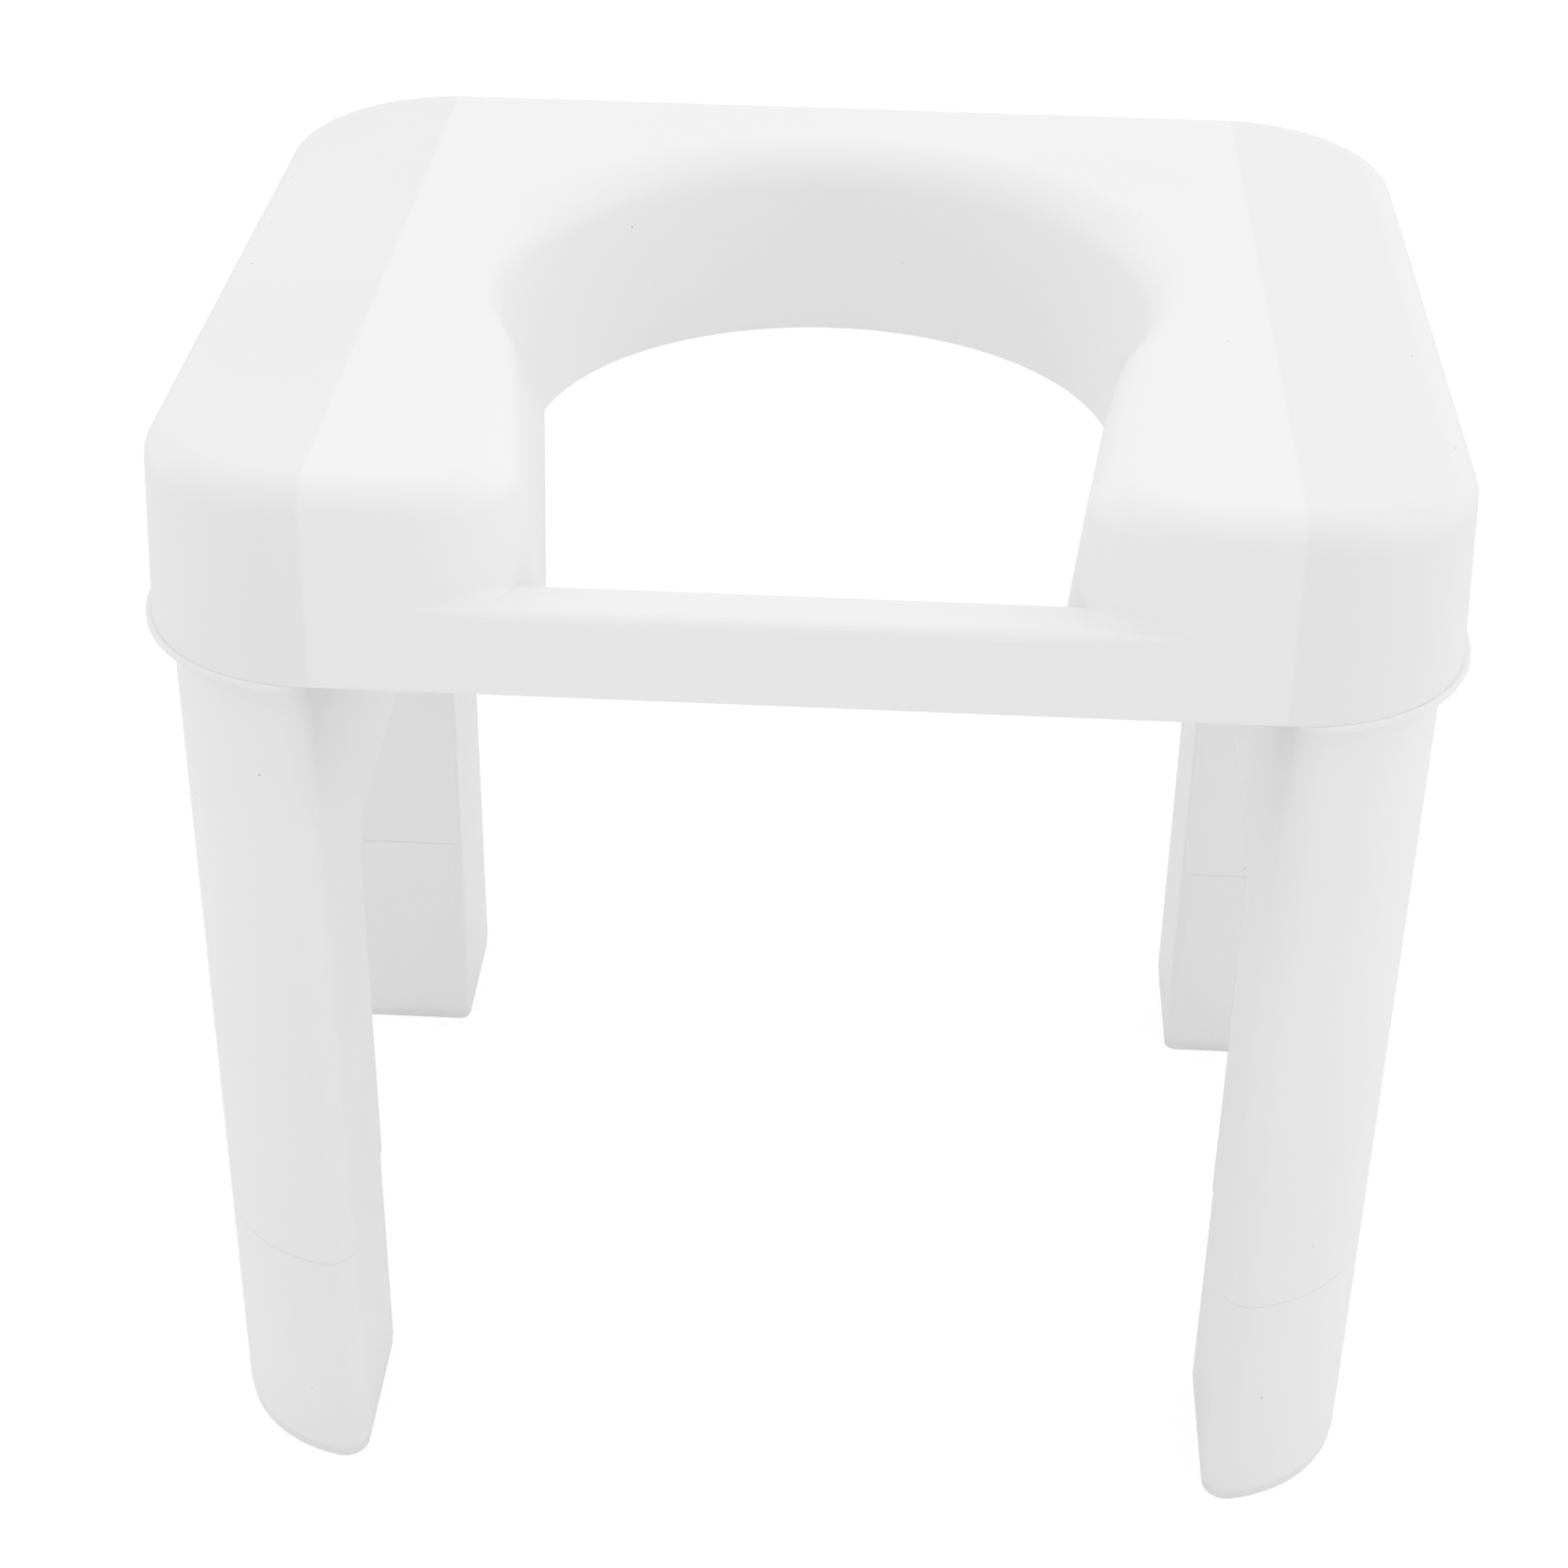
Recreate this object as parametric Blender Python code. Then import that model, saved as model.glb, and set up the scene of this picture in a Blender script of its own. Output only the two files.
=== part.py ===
"""Toilet stool: a keyhole seat that drops over two arched leg frames, all in white plastic.

Lengths are in metres, +Z is up and the front, with the low crossbar, faces -Y. The origin
is on the floor under the middle of the stool. Left is the side of -X.

The seat is a thin shell with ribs beneath. Each leg frame is a hollow arch, a front leg, a
rear leg and the panel between them, whose plug slides up into a socket of the seat until
its lip meets the skirt. A foot is pushed over the end of each leg, with a soft pad below.
"""

import math
from collections import namedtuple

import bmesh
import bpy
from mathutils import Matrix, Vector

# Seat, outside
SEAT_HEIGHT = 0.365
SKIRT_DEPTH = 0.061
SEAT_WIDTH = 0.3825
CORNER_RADIUS = 0.053
WING_WIDTH = 0.055
EDGE_RADIUS = 0.006
SKIRT_DRAFT = math.radians(2.8)
WING_SLOPE = math.radians(2.2)

# Keyhole: a round hole, a neck that narrows toward the front, and a lobe each side of it
SIDE_BAND = 0.0419
REAR_BAND = 0.06285
NECK_REACH = 0.1648
HOLE_DRAFT = math.radians(6.0)
RIM_RADIUS = 0.0115
NECK_START = math.radians(12.3)
NECK_TAPER = math.radians(7.1)
LOBE_RADIUS = 0.027

# Crossbar that closes the neck at the front
BAR_DEPTH = 0.022
BAR_HEIGHT = 0.0217
BAR_EDGE_RADIUS = 0.0035
BAR_FOOT_RADIUS = 0.006
BAR_RIB_PITCH = 0.035

# Seat, underneath
SEAT_WALL = 0.0026
TOP_THICKNESS = 0.003
SOCKET_RIB = 0.003
RIB_THICKNESS = 0.002
RIB_DEPTH = 0.034
BAR_RIB_RISE = 0.004
NECK_RIB_PITCH = 0.034

# Leg frames
LEG_INSET = 0.0031
LEG_SETBACK = 0.0024
LEG_WALL = 0.0025
LEG_FILLET = 0.008
ARCH_SPAN = 0.186
ARCH_HEIGHT = 0.219
ARCH_CORNER = 0.020
ARCH_EDGE_RADIUS = 0.0045
WEB_THICKNESS = 0.002
WEB_PITCH = 0.038
WEB_DROP = 0.005
FACE_STEP = 0.0002

# Lip under the skirt and plug inside the seat
LIP_THICKNESS = 0.0025
LIP_SIDE = 0.0036
LIP_FRONT = 0.0006
PLUG_HEIGHT = 0.050
PLUG_CHAMFER = 0.002
PLUG_CLEARANCE = 0.0005

# Feet and pads
SEAM_HEIGHT = 0.0848
FOOT_WALL = 0.0025
FOOT_FLOOR = 0.003
FOOT_CLEARANCE = 0.0005
FOOT_EDGE = 0.0005
SPIGOT_LENGTH = 0.028
FOOT_RIB = 0.002
PAD_THICKNESS = 0.0038
PAD_INSET = 0.0004
PAD_EDGE = 0.001
PEG_RADIUS = 0.0025
PEG_LENGTH = 0.0024
PEG_CLEARANCE = 0.0003

# Gap between pieces that rest on each other, and how far a cutter runs past a face
TOUCH_GAP = 0.0003
OVERRUN = 0.004
ROUND_START = 0.0003
FLARE_LEAD = 0.0002
MERGE_DISTANCE = 0.000001

# Facets
CORNER_STEPS = 13
HOLE_STEPS = 28
LOBE_BACK_STEPS = 3
LOBE_FRONT_STEPS = 8
ROUND_STEPS = 4
FOOT_ROUND_STEPS = 3
FILLET_STEPS = 5
ARCH_STEPS = 7
PEG_SIDES = 20
SHARP_ANGLE = math.radians(32.0)

# Where the radial ribs stand round the hole, in degrees from +X on the right half
RADIAL_RIB_DEGREES = (-12.0, 3.0, 18.0, 31.0, 42.0, 53.0, 65.0, 78.0)
# How much of the room before the lobe's foot the bar's edge rounding and the foot may take
ROUND_ROOM_SHARE = 0.8
FOOT_ROOM_SHARE = 0.8
# Least cosine used where the lobe's side turns parallel to the neck
LEAST_COSINE_SHARE = 0.1
# Where the pegs of a pad stand in its foot, across it and from the arch to its end
PEG_ACROSS_SHARE = 0.3
PEG_ALONG_SHARES = (0.3, 0.72)

# Worked out from the sizes above
SKIRT_Z = SEAT_HEIGHT - SKIRT_DEPTH
CORNER_X = SEAT_WIDTH / 2 - CORNER_RADIUS
CREASE_X = SEAT_WIDTH / 2 - WING_WIDTH
HOLE_RADIUS = CREASE_X - SIDE_BAND
FRONT_Y = -(NECK_REACH + HOLE_RADIUS + REAR_BAND) / 2
HOLE_SETBACK = FRONT_Y + NECK_REACH
CORNER_Y = -FRONT_Y - math.sqrt(CORNER_RADIUS ** 2 - (CORNER_RADIUS - WING_WIDTH) ** 2)
BAR_TOP_Z = SKIRT_Z + BAR_HEIGHT
PLUG_FACE_X = CREASE_X + SOCKET_RIB / 2 + PLUG_CLEARANCE
LIP_FACE_X = PLUG_FACE_X - FACE_STEP
LEG_FACE_X = PLUG_FACE_X + FACE_STEP
LEG_RADIUS = CORNER_RADIUS - LEG_INSET
LEG_CORNER_Y = CORNER_Y - LEG_SETBACK
LEG_END_Y = LEG_CORNER_Y + LEG_RADIUS
LIP_TOP_Z = SKIRT_Z - TOUCH_GAP
LIP_BOTTOM_Z = LIP_TOP_Z - LIP_THICKNESS
LIP_RADIUS = CORNER_RADIUS + LIP_SIDE
LIP_CORNER_Y = CORNER_Y + CORNER_RADIUS + LIP_FRONT - LIP_RADIUS
PLUG_TOP_Z = LIP_TOP_Z + PLUG_HEIGHT
SPIGOT_INSET = FOOT_WALL + FOOT_CLEARANCE
SPIGOT_BOTTOM_Z = SEAM_HEIGHT - SPIGOT_LENGTH
FOOT_BOTTOM_Z = PAD_THICKNESS + TOUCH_GAP
FOOT_TOP_Z = SEAM_HEIGHT - TOUCH_GAP
ARCH_Y = ARCH_SPAN / 2

Station = namedtuple("Station", "place blend foot over_bar")
Shell = namedtuple("Shell", "inset floor ledge top foot_radius bar_round foot_steps")


# Meshes and objects

def lerp(start, end, share):
    """Value that lies a share of the way from start to end."""
    return start + (end - start) * share


def steps(start, end, count):
    """Values from start to end, both included, in count equal steps."""
    return [lerp(start, end, index / count) for index in range(count + 1)]


def arc(centre_x, centre_y, radius, start, end, count):
    """Points of an arc in the plane, from angle start to angle end."""
    points = []
    for angle in steps(start, end, count):
        points.append((centre_x + radius * math.cos(angle), centre_y + radius * math.sin(angle)))
    return points


def finish_mesh(bm):
    """Merge doubled points, drop what collapsed and turn every face outward."""
    bmesh.ops.remove_doubles(bm, verts=bm.verts, dist=MERGE_DISTANCE)
    bmesh.ops.dissolve_degenerate(bm, edges=bm.edges, dist=MERGE_DISTANCE)
    bmesh.ops.recalc_face_normals(bm, faces=bm.faces)


def add_loft(bm, rings):
    """Add a closed body through rings of points that all have the same count."""
    loops = [[bm.verts.new(point) for point in ring] for ring in rings]
    count = len(loops[0])
    for lower, upper in zip(loops, loops[1:]):
        for index in range(count):
            after = (index + 1) % count
            bm.faces.new((lower[index], lower[after], upper[after], upper[index]))
    bm.faces.new(list(reversed(loops[0])))
    bm.faces.new(loops[-1])


def add_box(bm, low, high, turn=0.0):
    """Add a box between two corners, turned about the Z axis through the hole's centre."""
    rings = []
    for z in (low[2], high[2]):
        corners = ((low[0], low[1]), (high[0], low[1]), (high[0], high[1]), (low[0], high[1]))
        rings.append([turned(Vector((x, y, z)), turn) for x, y in corners])
    add_loft(bm, rings)


def turned(point, angle):
    """Point turned about the vertical line through the middle of the hole."""
    if angle == 0.0:
        return point
    centre = Vector((0.0, HOLE_SETBACK, 0.0))
    return Matrix.Rotation(angle, 3, "Z") @ (point - centre) + centre


def make_object(name, bm):
    """Turn a bmesh into an object of the scene."""
    finish_mesh(bm)
    mesh = bpy.data.meshes.new(name)
    bm.to_mesh(mesh)
    bm.free()
    body = bpy.data.objects.new(name, mesh)
    bpy.context.collection.objects.link(body)
    return body


def combine(body, tool, operation):
    """Apply a Boolean to the body with the tool, and remove the tool."""
    modifier = body.modifiers.new(operation.lower(), "BOOLEAN")
    modifier.operation = operation
    modifier.solver = "EXACT"
    modifier.object = tool
    bpy.context.view_layer.update()
    evaluated = body.evaluated_get(bpy.context.evaluated_depsgraph_get())
    mesh = bpy.data.meshes.new_from_object(evaluated)
    body.modifiers.clear()
    spent = body.data
    body.data = mesh
    mesh.name = body.name
    bpy.data.meshes.remove(spent)
    used = tool.data
    bpy.data.objects.remove(tool)
    bpy.data.meshes.remove(used)


def shade(body, material):
    """Give the body its material, with smooth curves and sharp corners."""
    mesh = body.data
    mesh.materials.clear()
    mesh.materials.append(material)
    mesh.shade_smooth()
    mesh.set_sharp_from_angle(angle=SHARP_ANGLE)


def plastic(name, colour, roughness):
    """Principled material in the piece's own colour."""
    material = bpy.data.materials.new(name)
    material.use_nodes = True
    shader = material.node_tree.nodes["Principled BSDF"]
    shader.inputs["Base Color"].default_value = (*colour, 1.0)
    shader.inputs["Roughness"].default_value = roughness
    shader.inputs["Metallic"].default_value = 0.0
    material.diffuse_color = (*colour, 1.0)
    return material


# Seat shell: every wall is one station of a loop, drafted inward and rounded at the top

def corner_point(inset, turn, end):
    """Point of a corner of the seat, from 0 at the crease to 1 at the side; end is -1 in front."""
    reach = CORNER_RADIUS - inset
    start = math.asin((CREASE_X - CORNER_X) / reach)
    angle = lerp(start, math.pi / 2, turn)
    return CORNER_X + reach * math.sin(angle), end * (CORNER_Y + reach * math.cos(angle))


def flat_point(inset, x, end):
    """Point of the flat front or rear between the creases."""
    return x, corner_point(inset, 0.0, end)[1]


def lobe_centre():
    """Centre of the lobe's rounding, which touches the neck's side and the front."""
    neck_x, neck_y = hole_point(0.0, NECK_START)
    centre_y = flat_point(0.0, 0.0, -1)[1] + LOBE_RADIUS
    run = (neck_y - LOBE_RADIUS * math.sin(NECK_TAPER) - centre_y) / math.cos(NECK_TAPER)
    centre_x = neck_x + LOBE_RADIUS * math.cos(NECK_TAPER) - run * math.sin(NECK_TAPER)
    return centre_x, centre_y


def neck_point(inset, y):
    """Point of the neck's straight side whose uncut place is at y."""
    start_x, start_y = hole_point(0.0, NECK_START)
    x = start_x + (y - start_y) * math.tan(NECK_TAPER)
    return x + inset * math.cos(NECK_TAPER), y - inset * math.sin(NECK_TAPER)


def lobe_point(inset, angle):
    """Point of the lobe's rounding."""
    centre_x, centre_y = lobe_centre()
    reach = LOBE_RADIUS - inset
    return centre_x + reach * math.cos(angle), centre_y + reach * math.sin(angle)


def hole_point(inset, angle):
    """Point of the round hole."""
    reach = HOLE_RADIUS + inset
    return reach * math.cos(angle), HOLE_SETBACK + reach * math.sin(angle)


def neck_corner(inset):
    """Point of the blunt corner where the round hole turns into the neck's side."""
    x, y = hole_point(0.0, NECK_START)
    turn = (NECK_START + NECK_TAPER) / 2
    reach = inset / math.cos(turn)
    return x + reach * math.cos(NECK_START - turn), y + reach * math.sin(NECK_START - turn)


def outer_stations():
    """Right half of the outside, from the lobe's front round to the middle of the rear."""
    front_x = lobe_centre()[0]
    stations = [Station(lambda inset: flat_point(inset, front_x, -1), 0.0, 0.0, True)]
    for turn in steps(0.0, 1.0, CORNER_STEPS):
        stations.append(Station(lambda inset, t=turn: corner_point(inset, t, -1), 0.0, 0.0, False))
    for turn in steps(1.0, 0.0, CORNER_STEPS):
        stations.append(Station(lambda inset, t=turn: corner_point(inset, t, 1), 0.0, 0.0, False))
    stations.append(Station(lambda inset: flat_point(inset, 0.0, 1), 0.0, 0.0, False))
    return stations


def lobe_station(angle, start, over_bar, foot_radius):
    """Station on the lobe; its draft and rounding fade from the hole's to the skirt's."""
    end = 1.5 * math.pi
    share = (angle - start) / (end - start)
    blend = 0.5 + 0.5 * math.cos(math.pi * share)
    foot = 0.0
    if over_bar and foot_radius > 0.0:
        room = LOBE_RADIUS * (1.0 / max(math.cos(end - angle), LEAST_COSINE_SHARE) - 1.0)
        foot = min(1.0, FOOT_ROOM_SHARE * room / foot_radius)
    return Station(lambda inset: lobe_point(inset, angle), blend, foot, over_bar)


def inner_stations(shell):
    """Right half of the opening, from the middle of its rear to the lobe's front."""
    stations = []
    for angle in steps(math.pi / 2, NECK_START, HOLE_STEPS)[:-1]:
        stations.append(Station(lambda inset, a=angle: hole_point(inset, a), 1.0, 0.0, False))
    stations.append(Station(neck_corner, 1.0, 0.0, False))
    start = math.pi - NECK_TAPER
    centre_y = lobe_centre()[1]
    bar_back = flat_point(0.0, 0.0, -1)[1] + BAR_DEPTH - shell.inset
    ratio = (bar_back - centre_y) / (LOBE_RADIUS - shell.inset)
    if ratio < math.sin(start):
        back = math.pi - math.asin(ratio)
        for angle in steps(start, back, LOBE_BACK_STEPS)[:-1]:
            stations.append(lobe_station(angle, start, False, shell.foot_radius))
    else:
        base_y = bar_back + shell.inset * math.sin(NECK_TAPER)
        stations.append(Station(lambda inset: neck_point(inset, base_y), 1.0, 0.0, True))
        back = start
    for angle in steps(back, 1.5 * math.pi, LOBE_FRONT_STEPS)[:-1]:
        stations.append(lobe_station(angle, start, True, shell.foot_radius))
    first = next(index for index, station in enumerate(stations) if station.over_bar)
    stations[first] = stations[first]._replace(foot=0.0)
    return stations


def wall_inset(shell, blend, z):
    """How far in a wall stands at a height, by its draft."""
    slope = math.tan(lerp(SKIRT_DRAFT, HOLE_DRAFT, blend))
    return shell.inset + slope * (z - SKIRT_Z)


def profile(shell, station):
    """Insets and heights of a station: floor, ledge, fillet at the bar's foot, top rounding."""
    draft = lerp(SKIRT_DRAFT, HOLE_DRAFT, station.blend)
    radius = lerp(EDGE_RADIUS, RIM_RADIUS, station.blend) - shell.inset
    levels = [(wall_inset(shell, station.blend, shell.floor), shell.floor)]
    for angle in steps(math.pi / 2, 0.0, max(shell.foot_steps, 1))[: shell.foot_steps + 1]:
        z = shell.ledge + shell.foot_radius * (1.0 - math.sin(angle))
        flare = station.foot * shell.foot_radius * (1.0 - math.cos(angle))
        levels.append((wall_inset(shell, station.blend, z) - flare, z))
    turn_z = shell.top - radius
    turn_inset = wall_inset(shell, station.blend, turn_z) + radius / math.cos(draft)
    for angle in steps(draft, math.pi / 2, ROUND_STEPS):
        levels.append((turn_inset - radius * math.cos(angle), turn_z + radius * math.sin(angle)))
    return levels


def sloped(x, y, z):
    """Point lowered where it lies outside the crease, most at the top of the seat."""
    beyond = max(0.0, abs(x) - CREASE_X)
    share = max(0.0, (z - SKIRT_Z) / SKIRT_DEPTH)
    return Vector((x, y, z - math.tan(WING_SLOPE) * beyond * share))


def bar_edge_columns(shell, stations, columns):
    """Columns of points that round the bar's front edge over, right half from the lobe inward."""
    rounded = []
    for station, column in zip(stations, columns):
        foot = column[1]
        front = flat_point(wall_inset(shell, 0.0, shell.ledge), foot.x, -1)[1]
        radius = min(shell.bar_round, ROUND_ROOM_SHARE * (foot.y - front))
        if radius < ROUND_START:
            rounded.append([Vector((foot.x, front, shell.ledge))])
            continue
        points = []
        for angle in steps(0.0, math.pi / 2, ROUND_STEPS):
            z = shell.ledge - radius * (1.0 - math.sin(angle))
            y = flat_point(wall_inset(shell, 0.0, z), foot.x, -1)[1] + radius * (1.0 - math.cos(angle))
            points.append(Vector((foot.x, y, z)))
        rounded.append(points)
        if radius >= shell.bar_round:
            break
    return rounded


def seat_shape(name, shell):
    """Closed body with the seat's outside, set in by the shell's inset all round."""
    outer = outer_stations()
    inner = inner_stations(shell)
    half = outer + inner

    def column(station, side):
        points = []
        for inset, z in profile(shell, station):
            x, y = station.place(inset)
            points.append(sloped(side * x, y, z))
        return points

    bm = bmesh.new()
    columns = {}
    for side in (1, -1):
        for index, station in enumerate(half):
            points = column(station, side)
            on_axis = abs(points[0].x) < MERGE_DISTANCE
            if side < 0 and on_axis:
                columns[side, index] = columns[1, index]
                continue
            verts = [bm.verts.new(point) for point in points]
            columns[side, index] = verts
    outer_count = len(outer)
    rear = outer_count - 1
    back = next(index for index, station in enumerate(inner) if station.over_bar) + outer_count
    last = len(half) - 1

    order = [(1, index) for index in range(outer_count)]
    order += [(-1, index) for index in range(rear - 1, -1, -1)]
    order += [(-1, index) for index in range(last, outer_count - 1, -1)]
    order += [(1, index) for index in range(outer_count + 1, last + 1)]
    over = [(side, index) for side, index in order if index > back]
    for place, following in zip(order, order[1:] + order[:1]):
        here = columns[place]
        there = columns[following]
        lowest = 1 if place in over or following in over else 0
        for level in range(lowest, len(here) - 1):
            bm.faces.new((here[level], there[level], there[level + 1], here[level + 1]))
    for place in over:
        bm.verts.remove(columns[place][0])

    # The crossbar: back face, rounded front edge, front face and the ledge on top
    front_mid = bm.verts.new((0.0, flat_point(wall_inset(shell, 0.0, shell.floor), 0.0, -1)[1], shell.floor))
    back_low = columns[1, back][0].co
    back_mid = bm.verts.new((0.0, back_low.y, shell.floor))
    right_back = columns[1, back]
    left_back = columns[-1, back]
    bm.faces.new((left_back[0], back_mid, right_back[0], right_back[1], left_back[1]))
    lobe = list(range(last, back - 1, -1))
    edge = {}
    for side in (1, -1):
        feet = [[None, columns[side, index][1].co.copy()] for index in lobe]
        if shell.bar_round > 0.0:
            points = bar_edge_columns(shell, lobe, feet)
        else:
            points = []
        edge[side] = [[bm.verts.new(point) for point in column_points] for column_points in points]
    right_corner = columns[1, 0]
    left_corner = columns[-1, 0]
    front = [left_corner[0], front_mid, right_corner[0], right_corner[1]]
    front += [points[0] for points in edge[1]]
    front += [points[0] for points in reversed(edge[-1])]
    front.append(left_corner[1])
    bm.faces.new(front)
    ledge = [left_corner[1]]
    ledge += [points[-1] for points in edge[-1]]
    ledge += [points[-1] for points in reversed(edge[1])]
    ledge.append(right_corner[1])
    ledge += [columns[1, index][1] for index in lobe]
    ledge += [columns[-1, index][1] for index in reversed(lobe)]
    bm.faces.new(ledge)
    if edge[1]:
        rows = [[right_corner[1]]] + edge[1] + list(reversed(edge[-1])) + [[left_corner[1]]]
        for here, there in zip(rows, rows[1:]):
            for level in range(ROUND_STEPS):
                quad = [here[min(level, len(here) - 1)], there[min(level, len(there) - 1)]]
                quad += [there[min(level + 1, len(there) - 1)], here[min(level + 1, len(here) - 1)]]
                unique = list(dict.fromkeys(quad))
                if len(unique) > 2:
                    bm.faces.new(unique)

    # The underside, in two halves that meet on the middle plane
    for side in (1, -1):
        floor = [front_mid]
        floor += [columns[side, index][0] for index in range(outer_count)]
        floor += [columns[side, index][0] for index in range(outer_count, back + 1)]
        floor.append(back_mid)
        bm.faces.new(floor)

    # The top: the flat middle and the two sloping wings outside the creases
    rear_crease = rear - 1
    middle = [columns[1, 1][-1], columns[1, rear_crease][-1], columns[1, rear][-1]]
    middle += [columns[-1, rear_crease][-1], columns[-1, 1][-1], columns[-1, 0][-1]]
    middle += [columns[-1, index][-1] for index in range(last, outer_count - 1, -1)]
    middle += [columns[1, index][-1] for index in range(outer_count + 1, last + 1)]
    middle.append(columns[1, 0][-1])
    bm.faces.new(middle)
    for side in (1, -1):
        bm.faces.new([columns[side, index][-1] for index in range(1, rear)])
    return make_object(name, bm)


def seat_ribs(name, top_z):
    """Ribs under the seat: round the hole, from the neck to the sockets and in the bar."""
    bm = bmesh.new()
    half = RIB_THICKNESS / 2
    low_z = SEAT_HEIGHT - TOP_THICKNESS - RIB_DEPTH
    inner = HOLE_RADIUS + SEAT_WALL / 2
    rear_y = flat_point(0.0, 0.0, 1)[1] - SEAT_WALL / 2
    angles = [math.radians(degrees) for degrees in RADIAL_RIB_DEGREES]
    for angle in [math.pi / 2] + angles + [math.pi - angle for angle in angles]:
        reach = CREASE_X / max(abs(math.cos(angle)), MERGE_DISTANCE)
        if math.sin(angle) > 0.0:
            reach = min(reach, (rear_y - HOLE_SETBACK) / math.sin(angle))
        low = (inner, HOLE_SETBACK - half, low_z)
        high = (reach, HOLE_SETBACK + half, top_z)
        add_box(bm, low, high, angle)
    front_y = flat_point(0.0, 0.0, -1)[1]
    back_y = front_y + BAR_DEPTH
    start_y = hole_point(0.0, math.radians(RADIAL_RIB_DEGREES[0]))[1]
    count = int((start_y - lobe_centre()[1]) / NECK_RIB_PITCH)
    for index in range(1, count + 1):
        y = start_y - (index + 0.5) * (start_y - lobe_centre()[1]) / (count + 1)
        neck_x = neck_point(SEAT_WALL / 2, y)[0]
        for side in (1, -1):
            ends = sorted((side * neck_x, side * CREASE_X))
            add_box(bm, (ends[0], y - half, low_z), (ends[1], y + half, top_z))
    for x in (-BAR_RIB_PITCH, 0.0, BAR_RIB_PITCH):
        low = (x - half, front_y + SEAT_WALL / 2, SKIRT_Z + BAR_RIB_RISE)
        add_box(bm, low, (x + half, back_y - SEAT_WALL / 2, BAR_TOP_Z - SEAT_WALL / 2))
    return make_object(name, bm)


def build_seat(material):
    """The seat: outside shape less a hollow that keeps the walls, sockets and ribs."""
    outside = Shell(0.0, SKIRT_Z, BAR_TOP_Z, SEAT_HEIGHT, BAR_FOOT_RADIUS, BAR_EDGE_RADIUS, FOOT_ROUND_STEPS)
    ledge = BAR_TOP_Z - SEAT_WALL
    top = SEAT_HEIGHT - TOP_THICKNESS
    inside = Shell(SEAT_WALL, SKIRT_Z - OVERRUN, ledge, top, 0.0, 0.0, 0)
    seat = seat_shape("seat", outside)
    hollow = seat_shape("seat_hollow", inside)
    bm = bmesh.new()
    reach = CORNER_Y + CORNER_RADIUS + OVERRUN
    for side in (1, -1):
        ends = sorted((side * (CREASE_X - SOCKET_RIB / 2), side * (CREASE_X + SOCKET_RIB / 2)))
        low = (ends[0], -reach, SKIRT_Z - OVERRUN - OVERRUN)
        add_box(bm, low, (ends[1], reach, SEAT_HEIGHT + OVERRUN))
    combine(hollow, make_object("socket_ribs", bm), "DIFFERENCE")
    combine(hollow, seat_ribs("ribs", SEAT_HEIGHT + OVERRUN), "DIFFERENCE")
    combine(seat, hollow, "DIFFERENCE")
    shade(seat, material)
    return seat


# Sections of the leg frames and feet, right side, counter-clockwise seen from above

def fillet_turn(face_x, radius, corner_y, fillet):
    """Centre of the fillet between the inner face and a corner's arc, and where they touch."""
    across = face_x + fillet - CORNER_X
    along = math.sqrt((radius - fillet) ** 2 - across ** 2)
    return face_x + fillet, -(corner_y + along), math.atan2(-along, across)


def half_section(face_x, radius, corner_y, fillet):
    """Front half of the section, from the inner face to the end of the corner's arc."""
    centre_x, centre_y, touch = fillet_turn(face_x, radius, corner_y, fillet)
    points = arc(centre_x, centre_y, fillet, -math.pi, touch, FILLET_STEPS)
    points += arc(CORNER_X, -corner_y, radius, touch, 0.0, CORNER_STEPS)[1:]
    return points


def full_section(face_x, radius, corner_y):
    """Section as long as the seat, with a flat inner face and a rounded corner at each end."""
    front = half_section(face_x, radius, corner_y, LEG_FILLET)
    return front + [(x, -y) for x, y in reversed(front)]


def leg_section(inset, edge_radius=ARCH_EDGE_RADIUS):
    """Section of one front leg, set in by a distance all round."""
    face_x = LEG_FACE_X + inset
    radius = LEG_RADIUS - inset
    edge = max(edge_radius - inset, FACE_STEP)
    fillet = max(LEG_FILLET - inset, FACE_STEP)
    arch_y = ARCH_Y + inset
    centre_x, centre_y, touch = fillet_turn(face_x, radius, LEG_CORNER_Y, fillet)
    points = arc(centre_x, centre_y, fillet, -math.pi, touch, FILLET_STEPS)
    past = arch_y + edge - LEG_CORNER_Y
    end = -math.asin(past / radius) if past > 0.0 else 0.0
    points += arc(CORNER_X, -LEG_CORNER_Y, radius, touch, end, CORNER_STEPS)[1:]
    side_x = CORNER_X + radius * math.cos(end)
    outer_edge = arc(side_x - edge, -(arch_y + edge), edge, 0.0, math.pi / 2, ROUND_STEPS)
    points += outer_edge[1:] if past > 0.0 else outer_edge
    points += arc(face_x + edge, -(arch_y + edge), edge, math.pi / 2, math.pi, ROUND_STEPS)
    return points


def ring(section, z):
    """Section at a height."""
    return [Vector((x, y, z)) for x, y in section]


def plug_radius(z):
    """Radius of the plug's corners, which follow the draft of the skirt around it."""
    return CORNER_RADIUS - SEAT_WALL - PLUG_CLEARANCE - math.tan(SKIRT_DRAFT) * (z - SKIRT_Z)


def arch_outline(grow, low_z):
    """Outline of the arch between the legs in Y and Z, grown by a distance."""
    reach = ARCH_Y + grow
    top = ARCH_HEIGHT + grow
    corner = ARCH_CORNER + grow
    points = [(reach, low_z)]
    points += arc(reach - corner, top - corner, corner, 0.0, math.pi / 2, ARCH_STEPS)
    return points + [(-y, z) for y, z in reversed(points)]


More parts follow.
